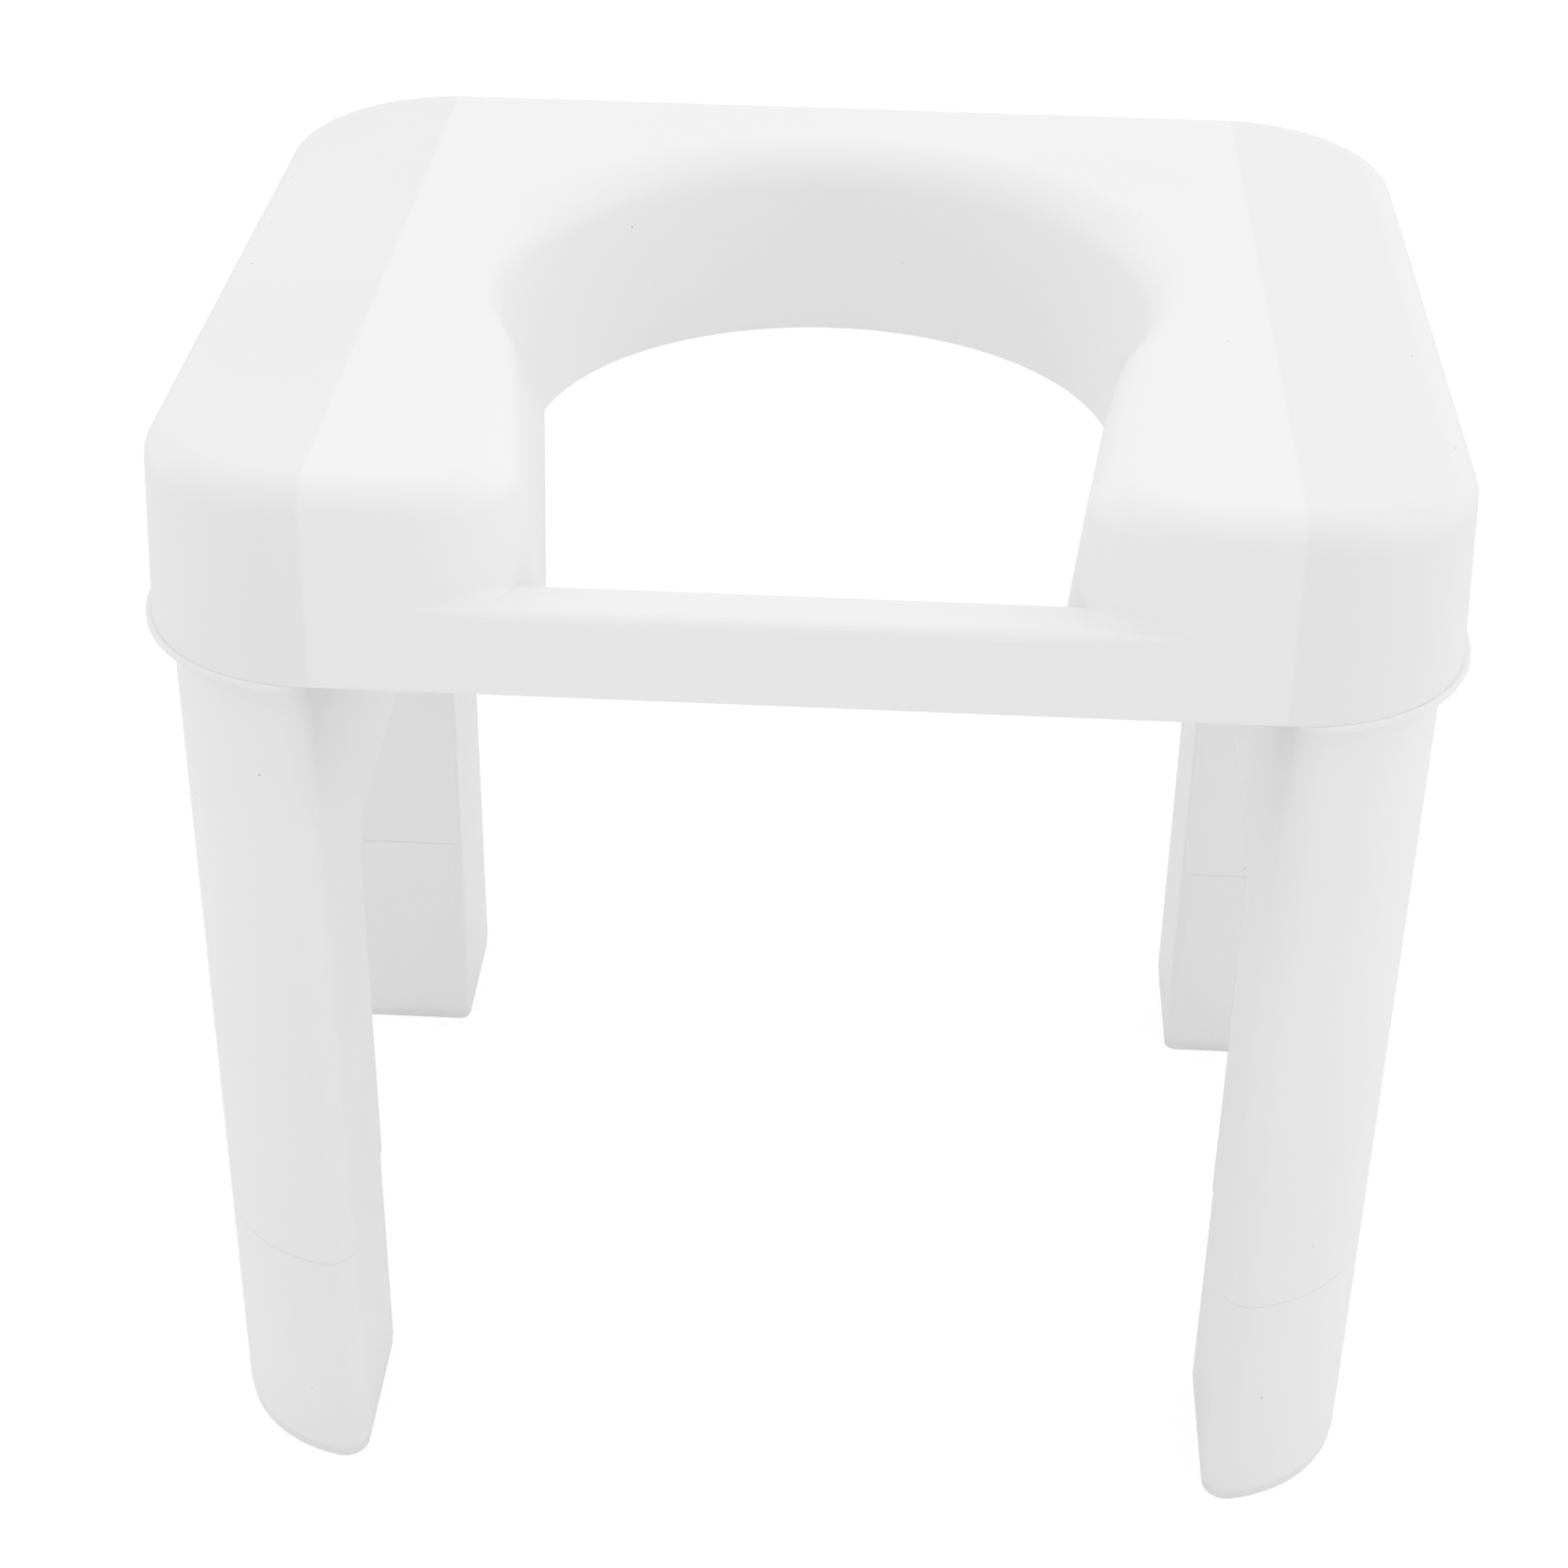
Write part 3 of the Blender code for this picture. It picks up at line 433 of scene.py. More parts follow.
def tapered_slab(name, low_z, high_z, face_x, low_radius):
    """Two outlines that narrow upwards as the skirt does, bridged and filled at both ends."""
    high_radius = low_radius - math.tan(SKIRT_DRAFT) * (high_z - low_z)
    upper = open_outline(name, high_z, face_x, high_radius)
    open_outline(name + "_low", low_z, face_x, low_radius)
    upper.select_set(True)
    bpy.context.view_layer.objects.active = upper
    bpy.ops.object.join()
    bpy.ops.object.mode_set(mode="EDIT")
    bpy.ops.mesh.select_all(action="SELECT")
    bpy.ops.mesh.bridge_edge_loops()
    for z in (low_z, high_z):
        pick_edges(upper, at_height(z))
        bpy.ops.mesh.edge_face_add()
    bpy.ops.mesh.select_mode(type="VERT")
    outward()
    return upper


lip_low = LIP_TOP - LIP_THICKNESS
lip = frame_slab("lip", lip_low, LIP_TOP, LEG_FACE_X - LIP_PROUD, LIP_RADIUS, LIP_CORNER_Y)
soften(lip, is_level, LIP_EDGE, 3)
plug = tapered_slab("plug", lip_middle_z, PLUG_TOP, LEG_FACE_X - PLUG_PROUD, PLUG_RADIUS)
soften(plug, at_height(PLUG_TOP), PLUG_EDGE, 2)
combine(frame_right, lip, "UNION")
combine(frame_right, plug, "UNION")
print(frame_right.name, len(frame_right.data.polygons), "faces with lip and plug")

# %% [markdown]
# ## The hollow inside
# The frame is a moulding about 2.5 mm thick, and a little more round the plug, which is open
# at its top. Webs stand across it. The air inside is made as a solid of its own, smaller by
# the wall. A block keeps the wall round the arch, thin blocks keep the webs, and what is left
# is taken out of the frame.

# %% Frame hollow
WEB_PITCH = 0.038
WEB_TOP = PLUG_TOP - 0.005
LEG_AIR_TOP = LIP_TOP - 0.006
AIR_OVERLAP = 0.0001
AIR_OVERSHOOT = 0.004

air_x = LEG_FACE_X + WALL
leg_air = frame_slab("leg_air", SEAM_Z + WALL, LEG_AIR_TOP, air_x, LEG_RADIUS - WALL, LEG_CORNER_Y)
combine(leg_air, arch_block("arch_wall", WALL))
plug_air = tapered_slab("plug_air", LEG_AIR_TOP - AIR_OVERLAP, PLUG_TOP + AIR_OVERSHOOT,
                        air_x + PLUG_PROUD, PLUG_RADIUS - PLUG_WALL)
combine(leg_air, plug_air, "UNION")
leg_middle_y = (ARCH_Y + LEG_CORNER_Y + LEG_RADIUS) / 2
webs = [(index * WEB_PITCH, ARCH_TOP) for index in (-2, -1, 0, 1, 2)]
webs += [(-leg_middle_y, SEAM_Z), (leg_middle_y, SEAM_Z)]
for y, low_z in webs:
    combine(leg_air, block_across("web", y - WEB / 2, y + WEB / 2, low_z, WEB_TOP))
combine(frame_right, leg_air)
smooth(frame_right)
cut_flats(frame_right)
frame_left = mirrored_copy(frame_right, "left_arch", "X")
smooth(frame_left)
print("webs at", [round(1000 * y) for y, _ in webs], "mm")
print("frames of", len(frame_right.data.polygons), "faces each")

# %% [markdown]
# ## Feet
# The lowest 85 mm of each leg is a separate shoe, pushed on from below, which shows only as
# the fine line round the leg. One is drawn as the outline of a single leg: the same two arcs
# at its outer end, and the arch's soft edge on its other side. The rest are its copies.

# %% Feet and pads
EDGE_STEPS = 7
PAD_LOW_EDGE = 0.001
PAD_TOP_EDGE = 0.0003
PAD_INSET = pad_low[0] - foot_low[0]


def draw_leg_outline(name, z, shrink):
    """Outline of the front right leg alone, set in by a small distance all round."""
    face_x = LEG_FACE_X + shrink
    radius = LEG_RADIUS - shrink
    fillet_x, fillet_y, touch = end_arcs(face_x, radius, LEG_CORNER_Y, LEG_FILLET - shrink)
    edge = ARCH_EDGE - shrink
    edge_y = ARCH_Y + shrink + edge
    first_point(name, face_x, -fillet_y, z)
    corner(fillet_x, -fillet_y, z, math.pi - touch, FILLET_STEPS)
    corner(CORNER_X, -LEG_CORNER_Y, z, touch, CORNER_STEPS)
    line(0.0, LEG_CORNER_Y - edge_y)
    corner(CORNER_X + radius - edge, -edge_y, z, math.pi / 2, EDGE_STEPS)
    line(face_x + 2 * edge - CORNER_X - radius, 0.0)
    corner(face_x + edge, -edge_y, z, math.pi / 2, EDGE_STEPS)
    line(0.0, edge_y - fillet_y)
    fill()


draw_leg_outline("front_right_shoe", foot_low[2], 0.0)
pull_up(foot_high[2] - foot_low[2])
shoe = bpy.context.object
soften(shoe, is_level, SEAM_EDGE, 2)
smooth(shoe)

draw_leg_outline("front_right_tread", pad_low[2], PAD_INSET)
pull_up(PAD_TOP - pad_low[2])
tread = bpy.context.object
soften(tread, at_height(pad_low[2]), PAD_LOW_EDGE, 3)
soften(tread, at_height(PAD_TOP), PAD_TOP_EDGE, 2)
smooth(tread)

shoes = {"front_right": shoe}
treads = {"front_right": tread}
copies = (
    ("front_left", "front_right", "X"),
    ("rear_right", "front_right", "Y"),
    ("rear_left", "front_left", "Y"),
)
for name, source, axis in copies:
    shoes[name] = mirrored_copy(shoes[source], name + "_shoe", axis)
    treads[name] = mirrored_copy(treads[source], name + "_tread", axis)
    smooth(shoes[name])
    smooth(treads[name])
print("shoes", sorted(shoes), "pads inset", round(1000 * PAD_INSET, 2), "mm")

# %% [markdown]
# ## The seat, and why it isn't drawn with the pencil
# The seat is one moulding: a top, a skirt round it, a keyhole through it whose wall leans
# back, two lobes at the front and a low bar between them. It could be cut from a rounded
# block, but a bevel has one width along an edge, and here the broad round of the keyhole's
# rim turns little by little into the narrow round of the skirt along each lobe, and the
# lean of the wall turns with it. So the seat is made another way: a wall is a column of
# points from its foot over its rounded top, columns stand side by side all along the
# outline, and faces are laid between them. A column knows its place, how much of the hole's
# lean and round it has (its blend), how much of the bar's hollow foot, and whether it stands
# over the bar. First come the walls: each gives the point where it stands, set in by an inset.

# %% Walls of the seat
Column = namedtuple("Column", "place blend foot over_bar", defaults=(0.0, False))
Shape = namedtuple("Shape", "inset floor ledge top bar_foot bar_round detail")
SHOULDER_INSET = 0.008
SHOULDER_BLEND = 0.002
LOBE_END = 1.5 * math.pi
HALVINGS = 40


def between(start, end, share):
    """Value a share of the way from start to end."""
    return start + (end - start) * share


def spread(start, end, count):
    """Evenly spaced values with both ends."""
    return [between(start, end, index / count) for index in range(count + 1)]


def skirt_corner(inset, share, end):
    """Point of a rounded corner of the skirt, from the crease to the side; end is -1 in front."""
    reach = CORNER_RADIUS - inset
    angle = between(math.asin((CREASE_X - CORNER_X) / reach), math.pi / 2, share)
    return CORNER_X + reach * math.sin(angle), end * (CORNER_Y + reach * math.cos(angle))


def skirt_flat(inset, x, end):
    """Point of the flat front or rear of the skirt."""
    return x, skirt_corner(inset, 0.0, end)[1]


def hole_wall(inset, angle):
    """Point of the round hole."""
    reach = HOLE_RADIUS + inset
    return reach * math.cos(angle), HOLE_Y + reach * math.sin(angle)


def neck_wall(inset, y):
    """Point of the neck's side; higher up, the round hole takes over from the straight line."""
    start_x, start_y = hole_wall(0.0, NECK_START)
    x = start_x + (y - start_y) * math.tan(NECK_TAPER) + inset * math.cos(NECK_TAPER)
    along = y - inset * math.sin(NECK_TAPER)
    reach = math.sqrt(max((HOLE_RADIUS + inset) ** 2 - (along - HOLE_Y) ** 2, 0.0))
    bulge = (reach - x + math.hypot(reach - x, SHOULDER_BLEND)) / 2
    return x + min(1.0, inset / SHOULDER_INSET) * bulge, along


def lobe_normal(angle):
    """Direction away from the lobe's middle, square to its oval."""
    return Vector((math.cos(angle) / LOBE_ACROSS, math.sin(angle) / LOBE_ALONG)).normalized()


def lobe_middle():
    """Middle of the lobe's oval, which touches the neck's side and the front of the skirt."""
    start_x, start_y = hole_wall(0.0, NECK_START)
    middle_y = skirt_flat(0.0, 0.0, -1)[1] + LOBE_ALONG
    reach = math.hypot(LOBE_ACROSS * math.cos(NECK_TAPER), LOBE_ALONG * math.sin(NECK_TAPER))
    across = (math.sin(NECK_TAPER) * (middle_y - start_y) + reach) / math.cos(NECK_TAPER)
    return start_x + across, middle_y


def lobe_wall(inset, angle):
    """Point of the lobe's oval."""
    middle_x, middle_y = lobe_middle()
    out = lobe_normal(angle)
    x = middle_x + LOBE_ACROSS * math.cos(angle) - inset * out.x
    return x, middle_y + LOBE_ALONG * math.sin(angle) - inset * out.y


def lobe_angle_at(inset, y):
    """Angle at which the lobe's wall crosses a line across the stool."""
    low, high = math.pi, LOBE_END
    for _ in range(HALVINGS):
        half = (low + high) / 2
        low, high = (half, high) if lobe_wall(inset, half)[1] > y else (low, half)
    return low


print("lobes at", [round(1000 * value, 1) for value in lobe_middle()], "mm")

# %% [markdown]
# ## Columns in a row
# The right half of the outline is a row of columns, close together where it turns and far
# apart where it runs straight. Along the neck the hole's lean and round begin to fade, and
# along the lobe they end in the skirt's. Where a lobe meets the top of the bar, the corner
# between them is a small hollow, which starts gently beside the bar's rear edge and shrinks
# again toward the front, where the bar runs out of room.

# %% Seat columns
NECK_BLEND = 0.55
NECK_BLEND_PACE = 1.4
NECK_END_Y = -0.115
FOOT_ONSET = 0.35
FOOT_SHARE = 0.45
BESIDE_BAR = 0.02
STEEPEST = 0.1
CORNER_COLUMNS = 12
HOLE_COLUMNS = 26
NECK_COLUMNS = 10
LEAD_COLUMNS = 3
LOBE_COLUMNS = 14
FOOT_LEVELS = 3
ROUND_LEVELS = 4


def lobe_column(angle, start, back, foot_radius):
    """Column on the lobe; its lean and round change gently from the hole's to the skirt's."""
    share = (angle - start) / (LOBE_END - start)
    blend = NECK_BLEND * (0.5 + 0.5 * math.cos(math.pi * share))
    over_bar = angle >= back
    foot = 0.0
    if over_bar and foot_radius > 0.0:
        room = LOBE_ALONG * (1.0 + math.sin(angle)) / max(-lobe_normal(angle).y, STEEPEST)
        onset = min(1.0, (angle - back) / FOOT_ONSET)
        foot = min(onset * onset * (3.0 - 2.0 * onset), FOOT_SHARE * room / foot_radius)
    return Column(lambda inset: lobe_wall(inset, angle), blend, foot, over_bar)


def corner_columns(end, shares):
    """Columns round one corner of the skirt."""
    return [Column(lambda inset, s=share: skirt_corner(inset, s, end), 0.0) for share in shares]


def outer_columns(shape):
    """Right half of the skirt, from the lobe's front round to the middle of the rear."""
    front_x = lobe_middle()[0]
    shares = spread(0.0, 1.0, CORNER_COLUMNS * shape.detail)
    columns = [Column(lambda inset: skirt_flat(inset, front_x, -1), 0.0, 0.0, True)]
    columns += corner_columns(-1, shares) + corner_columns(1, shares[::-1])
    columns.append(Column(lambda inset: skirt_flat(inset, 0.0, 1), 0.0))
    return columns


def inner_columns(shape):
    """Right half of the keyhole, from the middle of its rear to the lobe's front."""
    angles = spread(math.pi / 2, NECK_START, HOLE_COLUMNS * shape.detail)
    columns = [Column(lambda inset, angle=angle: hole_wall(inset, angle), 1.0) for angle in angles]
    neck_back = hole_wall(0.0, NECK_START)[1]
    for share in spread(0.0, 1.0, NECK_COLUMNS * shape.detail)[1:]:
        y = between(neck_back, NECK_END_Y, share)
        blend = between(1.0, NECK_BLEND, min(1.0, NECK_BLEND_PACE * share))
        columns.append(Column(lambda inset, y=y: neck_wall(inset, y), blend))
    start = math.pi - math.atan(LOBE_ALONG * math.tan(NECK_TAPER) / LOBE_ACROSS)
    bar_back = skirt_flat(0.0, 0.0, -1)[1] + BAR_DEPTH - shape.inset
    back = lobe_angle_at(shape.inset, bar_back)
    angles = spread(start, back - BESIDE_BAR, LEAD_COLUMNS)
    angles += spread(back, LOBE_END, LOBE_COLUMNS * shape.detail)[:-1]
    columns += [lobe_column(angle, start, back, shape.bar_foot) for angle in angles]
    return columns


def lean(shape, blend, z):
    """How far in a wall stands at a height."""
    return shape.inset + math.tan(between(SKIRT_DRAFT, HOLE_DRAFT, blend)) * (z - SKIRT_BOTTOM)


def column_levels(shape, column):
    """Insets and heights up a wall: lower edge, foot on the bar, and the round at the top."""
    draft = between(SKIRT_DRAFT, HOLE_DRAFT, column.blend)
    radius = between(EDGE_ROUND, RIM_ROUND, column.blend) - shape.inset
    foot_radius = column.foot * shape.bar_foot
    levels = [(lean(shape, column.blend, shape.floor), shape.floor)]
    for angle in spread(math.pi / 2, 0.0, FOOT_LEVELS * shape.detail):
        z = shape.ledge + shape.bar_foot * (1.0 - math.sin(angle))
        levels.append((lean(shape, column.blend, z) - foot_radius * (1.0 - math.cos(angle)), z))
    turn_z = shape.top - radius
    turn_inset = lean(shape, column.blend, turn_z) + radius / math.cos(draft)
    for angle in spread(draft, math.pi / 2, ROUND_LEVELS * shape.detail):
        levels.append((turn_inset - radius * math.cos(angle), turn_z + radius * math.sin(angle)))
    return levels


def lower_wings(x, y, z):
    """The top falls away outside the crease, and less so lower down the skirt."""
    share = max(0.0, (z - SKIRT_BOTTOM) / (SEAT_TOP - SKIRT_BOTTOM))
    return Vector((x, y, z - math.tan(WING_SLOPE) * max(0.0, abs(x) - CREASE_X) * share))


print("bar to", round(1000 * (BAR_TOP - SKIRT_BOTTOM), 1), "mm above the skirt's lower edge")

# %% [markdown]
# ## The bar
# The bar between the lobes is a front, a back and a top, laid between the columns at its two
# ends. Its front edge is rounded, less and less toward the lobes, where the top of the bar
# narrows to nothing. The edge is laid as rows of points, one for each column of a lobe.

# %% Bar
LOWER_EDGE, LEDGE = 0, 1
BAR_EDGE_LEVELS = 4
BAR_EDGE_SHARE = 0.8
SMALLEST_ROUND = 0.0003


def bar_edge(shape, feet):
    """Rows of points that round the bar's front edge, from the lobe inward."""
    rows = []
    for foot in feet:
        front = skirt_flat(lean(shape, 0.0, shape.ledge), foot.x, -1)[1]
        radius = min(shape.bar_round, BAR_EDGE_SHARE * (foot.y - front))
        if radius < SMALLEST_ROUND:
            rows.append([Vector((foot.x, front, shape.ledge))])
            continue
        points = []
        for angle in spread(0.0, math.pi / 2, BAR_EDGE_LEVELS):
            z = shape.ledge - radius * (1.0 - math.sin(angle))
            y = skirt_flat(lean(shape, 0.0, z), foot.x, -1)[1] + radius * (1.0 - math.cos(angle))
            points.append(Vector((foot.x, y, z)))
        rows.append(points)
        if radius >= shape.bar_round:
            break
    return rows


def lay_bar_edge(mesh, rows):
    """Faces between the rows; a row with one point closes into it."""
    for here, there in zip(rows, rows[1:]):
        for level in range(BAR_EDGE_LEVELS):
            quad = [row[min(level, len(row) - 1)] for row in (here, there)]
            quad += [row[min(level + 1, len(row) - 1)] for row in (there, here)]
            corners = list(dict.fromkeys(quad))
            if len(corners) > 2:
                mesh.faces.new(corners)


def lay_bar(mesh, shape, columns, lobe):
    """Back, front, top and front edge of the bar; gives the middles of its two lower edges."""
    right_front, left_front = columns[1, 0], columns[-1, 0]
    right_back, left_back = columns[1, lobe[-1]], columns[-1, lobe[-1]]
    front_middle = mesh.verts.new((0.0, *right_front[LOWER_EDGE].co.yz))
    back_middle = mesh.verts.new((0.0, *right_back[LOWER_EDGE].co.yz))
    rear = [left_back[LOWER_EDGE], back_middle, right_back[LOWER_EDGE]]
    mesh.faces.new(rear + [right_back[LEDGE], left_back[LEDGE]])
    edge = {}
    for side in (1, -1):
        feet = [columns[side, index][LEDGE].co.copy() for index in lobe]
        points = bar_edge(shape, feet) if shape.bar_round > 0.0 else []
        edge[side] = [[mesh.verts.new(point) for point in row] for row in points]
    rows = edge[1] + edge[-1][::-1]
    front = [left_front[LOWER_EDGE], front_middle, right_front[LOWER_EDGE], right_front[LEDGE]]
    front += [row[0] for row in rows] + [left_front[LEDGE]]
    mesh.faces.new(front)
    top = [left_front[LEDGE]] + [row[-1] for row in rows[::-1]] + [right_front[LEDGE]]
    top += [columns[1, index][LEDGE] for index in lobe]
    top += [columns[-1, index][LEDGE] for index in lobe[::-1]]
    mesh.faces.new(top)
    if rows:
        lay_bar_edge(mesh, [[right_front[LEDGE]]] + rows + [[left_front[LEDGE]]])
    return front_middle, back_middle


print("bar", round(1000 * BAR_DEPTH, 1), "mm deep at its lower edge")

# %% [markdown]
# ## Laying the faces
# The columns of the right half are mirrored to the left. Faces join each column to the next,
# all the way round. Then come the bar, the underside, and the top in three faces: a flat
# middle and two wings that fall away outside a faint crease on each side.

# %% Seat body
MERGE_DISTANCE = 0.000001


def place_columns(mesh, shape, half):
    """Points of all columns by side and place in the row; those on the middle are shared."""
    columns = {}
    for side in (1, -1):
        for index, column in enumerate(half):
            points = []
            for inset, z in column_levels(shape, column):
                x, y = column.place(inset)
                points.append(lower_wings(side * x, y, z))
            if side < 0 and abs(points[0].x) < MERGE_DISTANCE:
                columns[side, index] = columns[1, index]
            else:
                columns[side, index] = [mesh.verts.new(point) for point in points]
    return columns


def lay_walls(mesh, columns, order, over):
    """Faces from each column to the next; over the bar they start at its top."""
    for place, following in zip(order, order[1:] + order[:1]):
        here, there = columns[place], columns[following]
        lowest = LEDGE if place in over or following in over else LOWER_EDGE
        for level in range(lowest, len(here) - 1):
            mesh.faces.new((here[level], there[level], there[level + 1], here[level + 1]))
    for place in over:
        mesh.verts.remove(columns[place][LOWER_EDGE])


def lay_top(mesh, columns, count, last):
    """Flat middle round the keyhole, and a wing outside the crease on each side."""
    rear = count - 1
    crease = rear - 1
    ends = ((1, 1), (1, crease), (1, rear), (-1, crease), (-1, 1), (-1, 0))
    middle = [columns[place][-1] for place in ends]
    middle += [columns[-1, index][-1] for index in range(last, count - 1, -1)]
    middle += [columns[1, index][-1] for index in range(count + 1, last + 1)] + [columns[1, 0][-1]]
    mesh.faces.new(middle)
    for side in (1, -1):
        mesh.faces.new([columns[side, index][-1] for index in range(1, rear)])


def lay_seat(name, shape):
    """Closed body with the seat's outside, set in all round by the shape's inset."""
    outer = outer_columns(shape)
    half = outer + inner_columns(shape)
    count = len(outer)
    last = len(half) - 1
    back = count + next(index for index, column in enumerate(half[count:]) if column.over_bar)
    mesh = bmesh.new()
    columns = place_columns(mesh, shape, half)

    order = [(1, index) for index in range(count)]
    order += [(-1, index) for index in range(count - 2, -1, -1)]
    order += [(-1, index) for index in range(last, count - 1, -1)]
    order += [(1, index) for index in range(count + 1, last + 1)]
    lay_walls(mesh, columns, order, [(side, index) for side, index in order if index > back])
    front_middle, back_middle = lay_bar(mesh, shape, columns, list(range(last, back - 1, -1)))
    for side in (1, -1):
        under = [columns[side, index][LOWER_EDGE] for index in range(back + 1)]
        mesh.faces.new([front_middle] + under + [back_middle])
    lay_top(mesh, columns, count, last)

    bmesh.ops.remove_doubles(mesh, verts=mesh.verts, dist=MERGE_DISTANCE)
    bmesh.ops.recalc_face_normals(mesh, faces=mesh.faces)
    body = bpy.data.objects.new(name, bpy.data.meshes.new(name))
    mesh.to_mesh(body.data)
    mesh.free()
    bpy.context.scene.collection.objects.link(body)
    return body


outside = Shape(inset=0.0, floor=SKIRT_BOTTOM, ledge=BAR_TOP, top=SEAT_TOP,
                bar_foot=0.0036, bar_round=0.0035, detail=2)
seat = lay_seat("keyhole_seat", outside)
print(seat.name, len(seat.data.polygons), "faces")

# %% [markdown]
# ## Underneath
# From below the seat is a thin shell. The same columns, set in by the wall, give the air
# inside. A thin wall beside each socket and thin ribs round the hole are first cut out of
# that air, so they stay as plastic when the air is taken out of the seat.

# %% Seat hollow
SEAT_WALL = 0.0026
TOP_WALL = 0.003
AIR_BELOW = 0.004
SOCKET_WALL = 0.003
SOCKET_REACH = 0.17

inside = Shape(inset=SEAT_WALL, floor=SKIRT_BOTTOM - AIR_BELOW, ledge=BAR_TOP - SEAT_WALL,
               top=SEAT_TOP - TOP_WALL, bar_foot=0.0, bar_round=0.0, detail=1)
seat_air = lay_seat("seat_air", inside)
for x in (-CREASE_X, CREASE_X):
    low = (x - SOCKET_WALL / 2, -SOCKET_REACH, SKIRT_BOTTOM - TOOL_OVERHANG)
    high = (x + SOCKET_WALL / 2, SOCKET_REACH, SEAT_TOP + TOOL_OVERHANG)
    combine(seat_air, box_between("socket_wall", low, high))
print("air under the seat", len(seat_air.data.polygons), "faces")

# %% [markdown]
# ## Ribs
# The ribs stand out from the wall of the hole like rays, each a thin block that is turned
# about the middle of the hole. They reach as far as the nearest wall.

# %% Ribs
RIB_DEPTH = 0.034
RIB_WIDTH = 0.002
RIB_DEGREES = (-12, 3, 18, 31, 42, 53, 65, 78)
LEAST_COSINE = 0.000001


def rib(low, high, angle):
    """A thin upright rib, turned about the middle of the hole."""
    block = box_between("rib", low, high)
    bpy.ops.object.mode_set(mode="EDIT")
    bpy.ops.mesh.select_all(action="SELECT")
    bpy.ops.transform.rotate(value=-angle, orient_axis="Z", center_override=(0.0, HOLE_Y, 0.0))
    bpy.ops.object.mode_set(mode="OBJECT")
    return block


rib_low = SEAT_TOP - TOP_WALL - RIB_DEPTH
rear_y = skirt_flat(0.0, 0.0, 1)[1] - SEAT_WALL / 2
rib_angles = [math.radians(degrees) for degrees in RIB_DEGREES]
rib_angles += [math.pi - angle for angle in rib_angles] + [math.pi / 2]
for angle in rib_angles:
    reach = CREASE_X / max(abs(math.cos(angle)), LEAST_COSINE)
    if math.sin(angle) > 0.0:
        reach = min(reach, (rear_y - HOLE_Y) / math.sin(angle))
    low = (HOLE_RADIUS + SEAT_WALL / 2, HOLE_Y - RIB_WIDTH / 2, rib_low)
    high = (reach, HOLE_Y + RIB_WIDTH / 2, SEAT_TOP + TOOL_OVERHANG)
    combine(seat_air, rib(low, high, angle))
combine(seat, seat_air)
smooth(seat, SEAT_SMOOTH_DEGREES)
print(seat.name, len(seat.data.polygons), "faces,", len(rib_angles), "ribs round the hole")

# %% [markdown]
# ## White moulded plastic
# The stool is moulded in white polypropylene. Up close such a surface isn't one flat white:
# the sheen varies where the melt met the cool mould, a very fine grain takes the edge off
# the gloss, the tone drifts by a hair, and a few dark specks of dust are caught in it. Each
# of these is a noise of its own size, read from the piece's own coordinates. Sizes are given
# in cells per metre. First come helpers that add a node, a noise, a range and a mix.

# %% Node helpers
NOISE_ROUGHNESS = 0.55


def add_node(tree, kind, place=(0, 0), **inputs):
    """A node with some of its sockets set."""
    node = tree.nodes.new(kind)
    node.location = place
    for name, value in inputs.items():
        node.inputs[name.replace("_", " ")].default_value = value
    return node


def noise(tree, coordinates, scale, detail, place):
    """Noise in the piece's own space, in cells per metre."""
    node = add_node(tree, "ShaderNodeTexNoise", place,
                    Scale=scale, Detail=detail, Roughness=NOISE_ROUGHNESS)
    tree.links.new(coordinates, node.inputs["Vector"])
    return node.outputs["Fac"]


def stretch(tree, value, low, high, to_low, to_high, place):
    """Map Range, which turns a noise into the range that a socket needs."""
    node = add_node(tree, "ShaderNodeMapRange", place,
                    From_Min=low, From_Max=high, To_Min=to_low, To_Max=to_high)
    tree.links.new(value, node.inputs["Value"])
    return node.outputs["Result"]


def mix_colour(tree, factor, first, second, place, blend="MIX"):
    """Mix of two colours, each a socket or a value."""
    node = tree.nodes.new("ShaderNodeMix")
    node.data_type = "RGBA"
    node.blend_type = blend
    node.location = place
    tree.links.new(factor, node.inputs["Factor"])
    for socket, value in ((node.inputs[6], first), (node.inputs[7], second)):
        if isinstance(value, tuple):
            socket.default_value = (*value, 1.0)
        else:
            tree.links.new(value, socket)
    return node.outputs[2]


print("node helpers ready")

# %% [markdown]
# ## The white itself
# The seat, the legs and the pads each get their own white. The legs are a little duller than
# the seat, and the pads are a soft, matt plastic. The sheen is the range of the roughness, and
# the bump's height is given in metres: a hundredth of a millimetre for the moulded grain.

# %% Plastic
POLYPROPYLENE_IOR = 1.49
DRIFT_CELLS = 9.0
DRIFT_RANGE = (0.35, 0.65)
CLOUD_CELLS = 26.0
CLOUD_RANGE = (0.3, 0.7)
SWELL_CELLS = 38.0
SWELL_HEIGHT = 0.00006
SPECK_CELLS = 60.0
SPECK_RIM = (0.014, 0.022)
SPECK_BROWN = (0.30, 0.28, 0.25)


def grey(level):
    """A neutral colour."""
    return level, level, level


